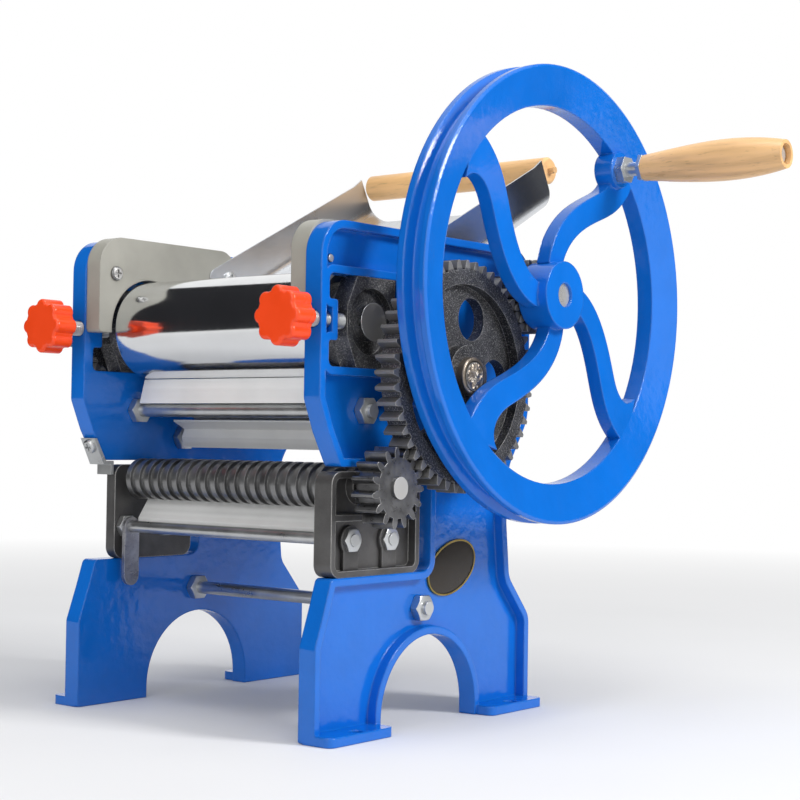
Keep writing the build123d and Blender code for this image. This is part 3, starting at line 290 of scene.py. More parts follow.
def enamel_finish(colour):
    """Thick glossy enamel run over the soft corners of a sand casting."""
    s = Shader("blue enamel").set(Specular_IOR_Level=0.5)
    plain = s.mapped()
    broad = s.noise(plain, 18.0, 4.0)
    paint = s.ramp(broad, [(0.3, shade(colour, 0.90)), (0.7, shade(colour, 1.08))])
    thin = s.times(s.edges(0.0012, 0.80, 0.97), s.span(s.noise(plain, 130.0, 3.0), 0.0, 0.30))
    s.link(s.over(thin, paint, shade(colour, 1.6)), "Base Color")
    s.link(s.span(s.noise(plain, 60.0), 0.10, 0.20), "Roughness")
    corner = s.bump(s.noise(plain, 150.0, 2.0), 0.0007, 0.30, s.rounded(0.0016))
    soft = s.bump(s.noise(plain, 38.0, 2.0), 0.0010, 0.30, corner)
    s.link(s.bump(s.noise(plain, 480.0, 2.0), 0.0001, 0.20, soft), "Normal")
    return s.material


def iron_finish(name, colour, bare, teeth=None):
    """Sandy cast iron with painted glints on its grains, rubbed edges and, on a gear, milled teeth
    lighter partly as a painted highlight.
    """
    s = Shader(name).set(Metallic=0.62, Specular_IOR_Level=0.5)
    plain = s.mapped()
    grain = s.noise(plain, 1050.0, 3.0, 0.7)
    patches = s.ramp(s.noise(plain, 60.0, 5.0),
                     [(0.3, shade(colour, 0.40)), (0.55, shade(colour, 0.8)),
                      (0.8, shade(colour, 1.8))])
    # Painted glints: bright grains laid into the colour stand in for light caught by the sandy
    # surface.
    painted_glints = s.span(grain, 0.0, 0.75, 0.53, 0.68)
    rubbed = s.times(s.edges(0.0006), s.span(s.noise(plain, 160.0, 4.0), 0.10, 0.85))
    skin = s.over(painted_glints, patches, shade(bare, 0.8))
    # Teeth beyond the root radius are lighter: milled steel, and partly a painted highlight on their
    # flanks.
    if teeth:
        skin = s.over(s.beyond(*teeth), skin, shade(bare, 0.36))
    s.link(s.over(rubbed, skin, bare), "Base Color")
    s.link(s.span(grain, 0.52, 0.32), "Roughness")
    corner = s.bump(s.noise(plain, 90.0, 3.0), 0.0008, 0.4, s.rounded(0.0005))
    s.link(s.bump(grain, 0.0005, 0.8, corner), "Normal")
    return s.material


def plate_finish(colour, bare):
    """Blackened plate casting with a thin bright line where its corners were ground."""
    s = Shader("blackened iron").set(Metallic=0.55, Specular_IOR_Level=0.5)
    plain = s.mapped()
    grain = s.noise(plain, 620.0, 3.0, 0.6)
    cloud = s.ramp(s.noise(plain, 34.0, 4.0),
                   [(0.3, shade(colour, 0.75)), (0.7, shade(colour, 1.7))])
    rubbed = s.times(s.edges(0.0012, 0.82, 0.97), s.span(s.noise(plain, 90.0, 4.0), 0.45, 1.0))
    s.link(s.over(rubbed, cloud, bare), "Base Color")
    s.link(s.span(grain, 0.30, 0.46), "Roughness")
    s.link(s.bump(grain, 0.0003, 0.5, s.rounded(0.0006)), "Normal")
    return s.material


def milled_finish(name, colour, bare, scale=240.0):
    """Oiled steel cut on a machine, brighter along its corners."""
    s = Shader(name).set(Metallic=0.92)
    plain = s.mapped()
    marks = s.noise(plain, scale, 4.0, 0.65)
    cloud = s.ramp(s.noise(plain, 75.0, 4.0),
                   [(0.3, shade(colour, 0.55)), (0.6, colour), (0.85, shade(colour, 1.5))])
    rubbed = s.times(s.edges(0.0006), s.span(marks, 0.25, 0.9))
    s.link(s.over(rubbed, cloud, bare), "Base Color")
    s.link(s.span(marks, 0.24, 0.44), "Roughness")
    s.link(s.bump(marks, 0.0003, 0.45, s.rounded(0.0004)), "Normal")
    return s.material


def chrome_finish(colour, ends):
    """Ground and plated roller, with faint rings left by the grinding wheel."""
    s = Shader("roller chrome").set(Metallic=1.0)
    rings = s.noise(s.mapped((1400.0, 12.0, 12.0)), 1.0, 3.0)
    cloud = s.noise(s.mapped(), 22.0, 3.0)
    faced = s.facing_x()
    plated = s.ramp(cloud, [(0.3, shade(colour, 0.90)), (0.7, colour)])
    s.link(s.over(faced, plated, ends), "Base Color")
    s.link(s.span(faced, 1.0, 0.55, 0.0, 1.0), "Metallic")
    s.link(s.span(rings, 0.06, 0.15), "Roughness")
    s.link(s.bump(rings, 0.00005, 0.22, s.rounded(0.0006)), "Normal")
    return s.material


def turned_finish(name, colour, low, high, dark=0.6, ends=None, core=None):
    """Turned or rolled metal with fine tool marks round its axis along X.

    Faces square to X take the colour of the ends, only inside the core where one is given.
    """
    s = Shader(name).set(Metallic=0.95)
    rings = s.noise(s.mapped((1800.0, 30.0, 30.0)), 1.0, 2.0)
    cloud = s.noise(s.mapped(), 70.0, 4.0)
    skin = s.ramp(cloud, [(0.30, shade(colour, dark)), (0.62, colour), (0.85, shade(colour, 1.2))])
    if ends:
        faced = s.facing_x()
        if core:
            faced = s.times(faced, s.within(*core))
        skin = s.over(faced, skin, ends)
        s.link(s.span(faced, 0.95, 0.45, 0.0, 1.0), "Metallic")
    s.link(skin, "Base Color")
    s.link(s.span(cloud, low, high), "Roughness")
    s.link(s.bump(rings, 0.00004, 0.3, s.rounded(0.0004)), "Normal")
    return s.material


def plastic_finish(name, colour, low, high, corner):
    """Moulded plastic with a faint ripple and a dull bloom."""
    s = Shader(name).set(Specular_IOR_Level=0.45)
    plain = s.mapped()
    cloud = s.noise(plain, 35.0, 4.0)
    s.link(s.ramp(cloud, [(0.3, shade(colour, 0.90)), (0.7, shade(colour, 1.05))]), "Base Color")
    s.link(s.span(cloud, low, high), "Roughness")
    s.link(s.bump(s.noise(plain, 180.0, 2.0), 0.0002, 0.25, s.rounded(corner)), "Normal")
    return s.material


def wood_finish(colour):
    """Pale varnished wood, grain along X."""
    s = Shader("varnished wood").set(Specular_IOR_Level=0.5)
    grain = s.noise(s.mapped((9.0, 190.0, 190.0)), 1.0, 6.0, 0.6, 0.6)
    figure = s.noise(s.mapped((5.0, 45.0, 45.0)), 1.0, 3.0, 0.5, 1.2)
    pores = s.noise(s.mapped((60.0, 900.0, 900.0)), 1.0, 2.0, 0.5)
    mix = s.tree.nodes.new("ShaderNodeMath")
    mix.operation = "MULTIPLY_ADD"
    s.tree.links.new(grain, mix.inputs[0])
    mix.inputs[1].default_value = 0.5
    s.tree.links.new(s.span(figure, 0.0, 0.5), mix.inputs[2])
    board = s.ramp(mix.outputs[0], [(0.22, shade(colour, 0.66)), (0.45, shade(colour, 0.93)),
                                    (0.75, shade(colour, 1.12))])
    s.link(s.over(s.span(pores, 0.0, 0.5, 0.62, 0.72), board, shade(colour, 0.45)), "Base Color")
    s.link(s.span(grain, 0.26, 0.42), "Roughness")
    s.link(s.bump(grain, 0.0003, 0.35), "Normal")
    return s.material


def drawn_finish(name, colour, low, high, scale, depth, metal, ribs=0.0):
    """Drawn or brushed sheet and bar: long fine lines in one direction."""
    tray_slope = math.radians(28.0)
    s = Shader(name).set(Metallic=metal, Specular_IOR_Level=0.5)
    lines = s.noise(s.mapped(scale, (tray_slope, 0.0, 0.0)), 1.0, 3.0)
    cloud = s.noise(s.mapped(), 14.0, 3.0)
    s.link(s.ramp(cloud, [(0.3, shade(colour, 0.90)), (0.7, shade(colour, 1.05))]), "Base Color")
    s.link(s.span(lines, low, high), "Roughness")
    corner = s.rounded(0.0004)
    if ribs:
        corner = s.bump(s.noise(s.mapped((1.5, 210.0, 210.0)), 1.0, 0.0), ribs, 0.7, corner)
    s.link(s.bump(lines, depth, 0.35, corner), "Normal")
    return s.material


def dress(material, slot_name, *names):
    """Gives the material to each named CAD node or new piece."""
    for name in names:
        piece = NODES.get(name) or bpy.data.objects[name]
        piece.data.materials.clear()
        piece.data.materials.append(material)


# ------------------------------------------------------------ modelling aids
def deselect():
    if bpy.context.object and bpy.context.object.mode != "OBJECT":
        bpy.ops.object.mode_set(mode="OBJECT")
    bpy.ops.object.select_all(action="DESELECT")


def settle(piece, name, body, *stands_for):
    """Names a finished piece, puts its place into its mesh and hangs it on its body."""
    smooth_below = math.radians(35.0)
    deselect()
    piece.name = name
    piece.data.name = name
    piece.select_set(True)
    bpy.context.view_layer.objects.active = piece
    bpy.ops.object.transform_apply(location=True, rotation=True, scale=True)
    bpy.ops.object.shade_smooth_by_angle(angle=smooth_below)
    piece.select_set(False)
    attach(piece, body)
    if stands_for:
        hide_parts(*stands_for)
    return piece


def apply_modifiers(piece):
    bpy.context.view_layer.objects.active = piece
    for modifier in list(piece.modifiers):
        bpy.ops.object.modifier_apply(modifier=modifier.name)


def select(piece, kind, test):
    """Selects, in edit mode, the vertices, edges or faces that pass the test."""
    bpy.ops.object.mode_set(mode="EDIT")
    bpy.ops.mesh.select_mode(type=kind)
    bpy.ops.mesh.select_all(action="DESELECT")
    mesh = bmesh.from_edit_mesh(piece.data)
    for part in {"VERT": mesh.verts, "EDGE": mesh.edges, "FACE": mesh.faces}[kind]:
        if test(part):
            part.select = True
    mesh.select_flush_mode()
    bmesh.update_edit_mesh(piece.data)


def select_rims(piece):
    """Selects, in edit mode, the edges round both ends of a cylinder."""
    select(piece, "EDGE", lambda e: abs(e.verts[0].co.z - e.verts[1].co.z) < TOUCH)


def select_top_rim(piece, top):
    """Selects, in edit mode, the edges round the upper end of a cylinder."""
    select(piece, "EDGE", lambda e: all(v.co.z > top - TOUCH for v in e.verts))


def step_faces(inset, move):
    """Insets the selected faces, then moves what the inset leaves in the middle."""
    bpy.ops.mesh.inset(thickness=inset)
    bpy.ops.transform.translate(value=move)


def cylinder(sides, radius, depth, centre=(0.0, 0.0, 0.0), turn=(0.0, 0.0, 0.0)):
    """A new cylinder, alone in the selection."""
    deselect()
    bpy.ops.mesh.primitive_cylinder_add(
        vertices=sides, radius=radius, depth=depth, location=centre, rotation=turn)
    return bpy.context.object


def block(centre, sides):
    """A new block. Its place stays on the object, so flush faces meet exactly."""
    deselect()
    bpy.ops.mesh.primitive_cube_add(size=1.0, location=centre)
    piece = bpy.context.object
    piece.scale = sides
    bpy.ops.object.transform_apply(location=False, rotation=False, scale=True)
    return piece


def join(pieces):
    """Makes one object of several."""
    deselect()
    for piece in pieces:
        piece.select_set(True)
    bpy.context.view_layer.objects.active = pieces[0]
    if len(pieces) > 1:
        bpy.ops.object.join()
    return bpy.context.view_layer.objects.active


def combine(piece, tool, operation):
    """Cuts, joins or trims a piece by a tool's shape, and removes the tool."""
    deselect()
    change = piece.modifiers.new(operation.lower(), "BOOLEAN")
    change.operation = operation
    change.solver = "EXACT"
    change.object = tool
    apply_modifiers(piece)
    bpy.data.objects.remove(tool)


# Rotations that lay a cylinder's Z axis along the named axis.
AXIS_TURN = {
    "X": (0.0, math.pi / 2, 0.0),
    "-X": (0.0, -math.pi / 2, 0.0),
    "-Y": (math.pi / 2, 0.0, 0.0),
}


def chamfered_nut(centre, across_flats, height, chamfer):
    """Hexagon nut along X, its corners turned off at thirty degrees on both faces."""
    slope = math.sqrt(3.0)
    crown = across_flats / 2 - chamfer * 0.2
    nut = cylinder(6, across_flats / slope, height, centre, AXIS_TURN["X"])
    for turn in ("X", "-X"):
        deselect()
        bpy.ops.mesh.primitive_cone_add(
            vertices=48, radius1=crown + slope * (height + chamfer),
            radius2=crown - slope * chamfer, depth=height + 2 * chamfer, location=centre,
            rotation=AXIS_TURN[turn])
        combine(nut, bpy.context.object, "INTERSECT")
    return nut


def pan_head(centre, radius, turn, sizes):
    """Domed screw head with a cross recess; its flat side faces backwards along the turn."""
    dome_share, arm_share = 0.7, 1.1
    height = sizes.head_height
    head = cylinder(40, radius, height)
    select_top_rim(head, height / 2)
    bpy.ops.mesh.bevel(offset=height * dome_share, segments=6)
    bpy.ops.object.mode_set(mode="OBJECT")
    arm = radius * arm_share
    for along_x, along_y in ((arm, sizes.cross_width), (sizes.cross_width, arm)):
        bar = block((0.0, 0.0, height / 2), (along_x, along_y, sizes.cross_depth * 2))
        combine(head, bar, "DIFFERENCE")
    head.rotation_euler = turn
    head.location = centre
    return head


def loose_boxes(node):
    """Lowest and highest corners of each separate solid of a CAD node."""
    mesh = bmesh.new()
    mesh.from_mesh(NODES[node].data)
    bmesh.ops.remove_doubles(mesh, verts=mesh.verts, dist=TOUCH)
    boxes = []
    seen = set()
    for start in mesh.verts:
        if start in seen:
            continue
        seen.add(start)
        stack = [start]
        places = []
        while stack:
            vert = stack.pop()
            places.append(vert.co.copy())
            for edge in vert.link_edges:
                other = edge.other_vert(vert)
                if other not in seen:
                    seen.add(other)
                    stack.append(other)
        boxes.append((Vector(min(place[i] for place in places) for i in range(3)),
                      Vector(max(place[i] for place in places) for i in range(3))))
    mesh.free()
    return boxes


def middle_of(node):
    """Centre and size of a CAD node's box."""
    low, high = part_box(node)
    return (low + high) / 2, high - low


# ----------------------------------------------------------------- operators
class NoodleOperator:
    """What all the operators share."""

    bl_options = {"REGISTER", "UNDO"}


class NOODLE_OT_enamel(NoodleOperator, bpy.types.Operator):
    """Blue enamel on both side frames and the handwheel"""

    bl_idname = "noodle.enamel"
    bl_label = "Enamel frames and wheel"

    def execute(self, context):
        dress(enamel_finish(context.scene.noodle_finish.enamel), "blue_enamel",
              "right_frame", "left_frame", "handwheel")
        return {"FINISHED"}


class NOODLE_OT_castings(NoodleOperator, bpy.types.Operator):
    """Dark cast iron on the gears, bearing blocks and cassette plates"""

    bl_idname = "noodle.castings"
    bl_label = "Gears and castings"

    def execute(self, context):
        finish = context.scene.noodle_finish
        fasteners = context.scene.noodle_fasteners
        dress(iron_finish("sandy cast iron", shade(finish.iron, 1.5), finish.bare_and_glint), "dark_iron",
              "bearing_block_right", "bearing_block_left")
        # Each gear's teeth start at its root radius; beyond it the iron is lighter, partly as a
        # painted highlight.
        for gear in ("drive_gear", "drive_pinion", "rear_roller_gear", "front_roller_gear"):
            centre, size = middle_of(gear)
            root = size.z / 2 - fasteners.tooth_height
            dress(iron_finish(gear.replace("_", " ") + " iron", finish.iron, finish.bare_and_glint,
                              (centre.y, centre.z, root)), "dark_iron", gear)
        dress(plate_finish(finish.plate, finish.bare_and_glint), "dark_iron",
              "cassette_plate_right", "cassette_plate_left")
        dress(milled_finish("milled steel", finish.milled, finish.bare_and_glint), "dark_iron",
              "cutter_pinion", "cutter_gear_front", "cutter_gear_rear")
        dress(milled_finish("satin steel", finish.tab, finish.tab, 700.0), "zinc", "latch_tab")
        return {"FINISHED"}


class NOODLE_OT_rollers(NoodleOperator, bpy.types.Operator):
    """Chrome sheeting rollers and turned steel cutter rollers"""

    bl_idname = "noodle.rollers"
    bl_label = "Rollers and shaft"

    def execute(self, context):
        finish = context.scene.noodle_finish
        dress(chrome_finish(finish.chrome, shade(finish.bare_and_glint, 0.7)),
              "chrome", "front_roller", "rear_roller")
        dress(turned_finish("turned steel", finish.steel, 0.24, 0.36, 0.6, finish.bare_and_glint),
              "bright_steel", "drive_shaft")
        journal = context.scene.noodle_fasteners.journal_radius
        for roller in ("cutter_roller_front", "cutter_roller_rear"):
            centre = middle_of(roller)[0]
            dress(turned_finish(roller.replace("_", " ") + " steel", finish.steel, 0.28, 0.40,
                                0.7, finish.bare_and_glint, (centre.y, centre.z, journal)),
                  "bright_steel", roller)
        return {"FINISHED"}


class NOODLE_OT_rods(NoodleOperator, bpy.types.Operator):
    """Zinc on the tie rods, brackets and the handle bolt"""

    bl_idname = "noodle.rods"
    bl_label = "Rods and brackets"

    def execute(self, context):
        finish = context.scene.noodle_finish
        dress(turned_finish("zinc plate", finish.zinc, 0.27, 0.36, 0.86, finish.zinc), "zinc",
              "tie_rod_front", "tie_rod_rear", "tie_rod_lower", "cassette_tie_rods",
              "handle_bolt", "hook_bracket", "tray_screws", "cheek_screws", "hook_screw",
              "tie_rod_nuts", "cassette_nuts", "adjusting_screw_right",
              "adjusting_screw_left")
        return {"FINISHED"}


class NOODLE_OT_mouldings(NoodleOperator, bpy.types.Operator):
    """Cream cheeks and red knobs"""

    bl_idname = "noodle.mouldings"
    bl_label = "Cheeks and knobs"

    def execute(self, context):
        finish = context.scene.noodle_finish
        dress(plastic_finish("cream plastic", finish.cream, 0.34, 0.46, 0.0012),
              "cream_plastic", "cheek_right", "cheek_left")
        dress(plastic_finish("red plastic", finish.red, 0.16, 0.28, 0.0012),
              "red_plastic", "knob_right", "knob_left")
        return {"FINISHED"}


class NOODLE_OT_wood(NoodleOperator, bpy.types.Operator):
    """Varnished wood on the grip and the dough rod"""

    bl_idname = "noodle.wood"
    bl_label = "Grip and dough rod"

    def execute(self, context):
        dress(wood_finish(context.scene.noodle_finish.wood), "wood", "handle_grip", "dough_rod")
        return {"FINISHED"}


class NOODLE_OT_sheet(NoodleOperator, bpy.types.Operator):
    """Stainless tray, aluminium scrapers and combs"""

    bl_idname = "noodle.sheet"
    bl_label = "Tray, scrapers and combs"

    def execute(self, context):
        finish = context.scene.noodle_finish
        dress(drawn_finish("stainless sheet", finish.stainless, 0.18, 0.30,
                           (500.0, 6.0, 6.0), 0.00006, 0.95), "stainless", "feed_tray")
        dress(drawn_finish("drawn aluminium", finish.aluminium, 0.36, 0.50,
                           (4.0, 420.0, 420.0), 0.00012, 0.12, 0.0012), "bare_aluminium",
              "scraper_front", "scraper_rear", "cassette_comb_front", "cassette_comb_rear")
        return {"FINISHED"}


class NOODLE_OT_plaque(NoodleOperator, bpy.types.Operator):
    """Blank domed oval plaque with a thin bright edge"""

    bl_idname = "noodle.plaque"
    bl_label = "Oval plaque"

    def execute(self, context):
        finish = context.scene.noodle_finish
        field = plastic_finish("plaque field", finish.plaque, 0.22, 0.34, 0.0004)
        edge = turned_finish("plaque edge", finish.brass, 0.25, 0.4)
        sizes = context.scene.noodle_plaque
        recess_wall, recess, crown_in, crown = 0.0003, 0.0006, 0.003, 0.0003
        centre, size = middle_of("oval_plaque")
        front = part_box("oval_plaque")[1].x
        plaque = cylinder(96, 0.5, size.x, centre, AXIS_TURN["X"])
        plaque.scale = (sizes.height, sizes.width, 1.0)
        bpy.ops.object.transform_apply(location=False, rotation=True, scale=True)
        plaque.rotation_euler = (sizes.tilt, 0.0, 0.0)
        bpy.ops.object.transform_apply(location=True, rotation=True, scale=True)
        select(plaque, "FACE", lambda face: face.normal.x > 0.9)
        bpy.ops.mesh.inset(thickness=sizes.edge)
        step_faces(recess_wall, (-recess, 0.0, 0.0))
        step_faces(crown_in, (crown, 0.0, 0.0))
        bpy.ops.object.mode_set(mode="OBJECT")
        settle(plaque, "oval_plaque_blank", "frame", "oval_plaque")
        plaque.data.materials.append(edge)
        plaque.data.materials.append(field)
        for face in plaque.data.polygons:
            sunk = face.normal.x > 0.3 and face.center.x < front - 0.0002
            face.material_index = 1 if sunk else 0
        dress(field, "plaque_dark", "oval_plaque")
        return {"FINISHED"}


class NOODLE_OT_panel_screws(NoodleOperator, bpy.types.Operator):
    """Cross-recess heads of the cheek, tray and hook screws"""

    bl_idname = "noodle.panel_screws"
    bl_label = "Cross-recess screws"

    def execute(self, context):
        sizes = context.scene.noodle_fasteners
        zinc = bpy.data.materials["zinc plate"]
        finish_of = {"cheek_screws": bpy.data.materials["turned steel"], "tray_screws": zinc}
        height = sizes.head_height
        tip_chamfer = 0.0006
        for node, finish in finish_of.items():
            centre, size = middle_of(node)
            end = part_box(node)[1].x
            inside = min(abs(v.co.x) for v in NODES[node].data.vertices)
            parts = []
            for side, turn in ((1, "-X"), (-1, "X")):
                head_at = (side * (inside + height / 2), centre.y, centre.z)
                parts.append(pan_head(head_at, size.z / 2, AXIS_TURN[turn], sizes))
                shank_at = (side * (inside + height + end) / 2, centre.y, centre.z)
                shank = cylinder(32, sizes.shank_radius, end - inside - height, shank_at,
                                 AXIS_TURN["X"])
                select_rims(shank)
                bpy.ops.mesh.bevel(offset=tip_chamfer, segments=2)
                parts.append(shank)
            piece = settle(join(parts), node.replace("screws", "screws_cut"), "frame", node)
            dress(finish, "zinc", piece.name)
        bracket_fall, bracket_run = 8.87, 18.0
        lean = math.atan2(bracket_fall, bracket_run)
        head = pan_head(middle_of("hook_screw")[0], sizes.hook_head_radius,
                        (math.pi / 2 + lean, 0.0, 0.0), sizes)
        piece = settle(head, "hook_screw_cut", "frame", "hook_screw")
        dress(zinc, "zinc", piece.name)
        return {"FINISHED"}


class NOODLE_OT_nuts(NoodleOperator, bpy.types.Operator):
    """Chamfered nuts on the tie rods and the cassette rods"""

    bl_idname = "noodle.nuts"
    bl_label = "Chamfered nuts"

    def execute(self, context):
        sizes = context.scene.noodle_fasteners
        zinc = bpy.data.materials["zinc plate"]
        flats_of = {"tie_rod_nuts": 0.016, "cassette_nuts": 0.014}
        for node, flats in flats_of.items():
            nuts = [chamfered_nut((low + high) / 2, flats, high.x - low.x, sizes.nut_chamfer)
                    for low, high in loose_boxes(node)]
            piece = settle(join(nuts), node + "_turned", "frame", node)
            dress(zinc, "zinc", piece.name)
        return {"FINISHED"}


class NOODLE_OT_shaft_end(NoodleOperator, bpy.types.Operator):
    """Collar of the large gear with the hammered end of its shaft"""

    bl_idname = "noodle.shaft_end"
    bl_label = "Peened shaft end"

    def execute(self, context):
        finish = context.scene.noodle_finish
        centre, size = middle_of("drive_gear_nut")
        radius = size.z / 2
        top = size.x / 2
        collar_chamfer = 0.0012
        collar_wall = radius * 0.16
        groove, groove_depth = 0.0006, 0.0012
        shaft_wall, shaft_rise = 0.0004, 0.0018
        ring_count, ring, ring_rise = 5, radius * 0.12, 0.0001
        dent, dented_radius = 0.0005, radius * 0.72
        collar = cylinder(40, radius, size.x)
        select_top_rim(collar, top)
        bpy.ops.mesh.bevel(offset=collar_chamfer, segments=3)
        select(collar, "FACE", lambda face: face.normal.z > 0.99)
        bpy.ops.mesh.inset(thickness=collar_wall)
        step_faces(groove, (0.0, 0.0, -groove_depth))
        step_faces(shaft_wall, (0.0, 0.0, shaft_rise))
        for _ in range(ring_count):
            step_faces(ring, (0.0, 0.0, ring_rise))
        bpy.ops.mesh.poke()
        select(collar, "VERT",
               lambda v: v.co.z > top and Vector(v.co.xy).length < dented_radius)
        bpy.ops.transform.vertex_random(offset=dent, uniform=0.3, normal=0.6, seed=3)
        bpy.ops.mesh.select_all(action="SELECT")
        bpy.ops.mesh.quads_convert_to_tris()
        bpy.ops.object.mode_set(mode="OBJECT")
        collar.rotation_euler = AXIS_TURN["X"]
        collar.location = centre
        settle(collar, "shaft_end_peened", "rear_roller", "drive_gear_nut")
        dress(milled_finish("peened shaft end", finish.peened, finish.bare_and_glint, 520.0), "zinc",
              "shaft_end_peened")
        dress(milled_finish("gear collar", finish.milled, finish.bare_and_glint), "zinc",
              "drive_gear_nut")
        return {"FINISHED"}


class NOODLE_OT_bosses(NoodleOperator, bpy.types.Operator):
    """Raised bosses under the two nuts of the right cassette plate"""

    bl_idname = "noodle.bosses"
    bl_label = "Cassette bosses"

    def execute(self, context):
        sizes = context.scene.noodle_fasteners
        stem_share, corner = 1.5, 0.0009
        rods_low, rods_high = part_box("cassette_tie_rods")
        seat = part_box("cassette_nuts")[1].x - sizes.cassette_nut_height
        x = seat + sizes.boss_height / 2
        z = (rods_low.z + rods_high.z) / 2
        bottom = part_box("cassette_plate_right")[0].z + sizes.plate_rim / 2
        stem_sides = (sizes.boss_height, sizes.boss_radius * stem_share, z - bottom)
        parts = []
        for y in (rods_low.y + sizes.rod_radius, rods_high.y - sizes.rod_radius):
            disc = cylinder(48, sizes.boss_radius, sizes.boss_height, (x, y, z), AXIS_TURN["X"])
            combine(disc, block((x, y, (z + bottom) / 2), stem_sides), "UNION")
            soft = disc.modifiers.new("soft", "BEVEL")
            soft.width = corner
            soft.segments = 3
            soft.limit_method = "ANGLE"
            apply_modifiers(disc)
            parts.append(disc)
        piece = settle(join(parts), "cassette_bosses", "frame")
        dress(NODES["cassette_plate_right"].data.materials[0], "dark_iron", piece.name)
        return {"FINISHED"}


class NOODLE_OT_threads(NoodleOperator, bpy.types.Operator):
    """Threaded adjusting screws between the knobs and the bearing blocks"""

    bl_idname = "noodle.threads"
    bl_label = "Adjusting screws"

    def execute(self, context):
        sizes = context.scene.noodle_fasteners
        zinc = bpy.data.materials["zinc plate"]
        pitch, depth = sizes.thread_pitch, sizes.thread_depth
        plain_turns = 2
        for side in ("right", "left"):
            node = "adjusting_screw_" + side
            centre, size = middle_of(node)
            radius = size.x / 2
            turns = int(size.y / pitch) - plain_turns
            core = cylinder(32, radius - depth, size.y, centre, AXIS_TURN["-Y"])
            select_rims(core)
            bpy.ops.mesh.bevel(offset=depth, segments=2)
            bpy.ops.object.mode_set(mode="OBJECT")
            thread = self.thread(radius, pitch, depth, turns)
            thread.rotation_euler = AXIS_TURN["-Y"]
            thread.location = (centre.x, centre.y + turns * pitch / 2, centre.z)
            piece = settle(join([core, thread]), node + "_threaded", "knob_" + side, node)
            dress(zinc, "zinc", piece.name)
        return {"FINISHED"}

    def thread(self, radius, pitch, depth, turns):
        """The thread's profile, wound up the Z axis."""
        root = radius - depth * 1.1
        half_root, half_crest = pitch * 0.46, pitch * 0.1
        steps = 20
        deselect()
        bpy.ops.mesh.primitive_plane_add(size=pitch, location=(0.0, 0.0, 0.0))
        thread = bpy.context.object
        bpy.ops.object.mode_set(mode="EDIT")
        bpy.ops.mesh.select_all(action="SELECT")
        bpy.ops.mesh.delete(type="ONLY_FACE")
        mesh = bmesh.from_edit_mesh(thread.data)
        corners = sorted(mesh.verts, key=lambda v: (v.co.x, v.co.y))
        profile = ((root, 0.0, -half_root), (root, 0.0, half_root),
                   (radius, 0.0, -half_crest), (radius, 0.0, half_crest))
        for vert, place in zip(corners, profile):
            vert.co = place
        bmesh.update_edit_mesh(thread.data)
        bpy.ops.object.mode_set(mode="OBJECT")
        helix = thread.modifiers.new("thread", "SCREW")
        helix.axis = "Z"
        helix.steps = steps
        helix.render_steps = steps
        helix.iterations = turns
        helix.screw_offset = pitch
        helix.use_merge_vertices = True
        helix.merge_threshold = 1e-7
        apply_modifiers(thread)
        bpy.ops.object.mode_set(mode="EDIT")
        bpy.ops.mesh.select_all(action="SELECT")
        bpy.ops.mesh.normals_make_consistent(inside=False)
        bpy.ops.object.mode_set(mode="OBJECT")
        return thread


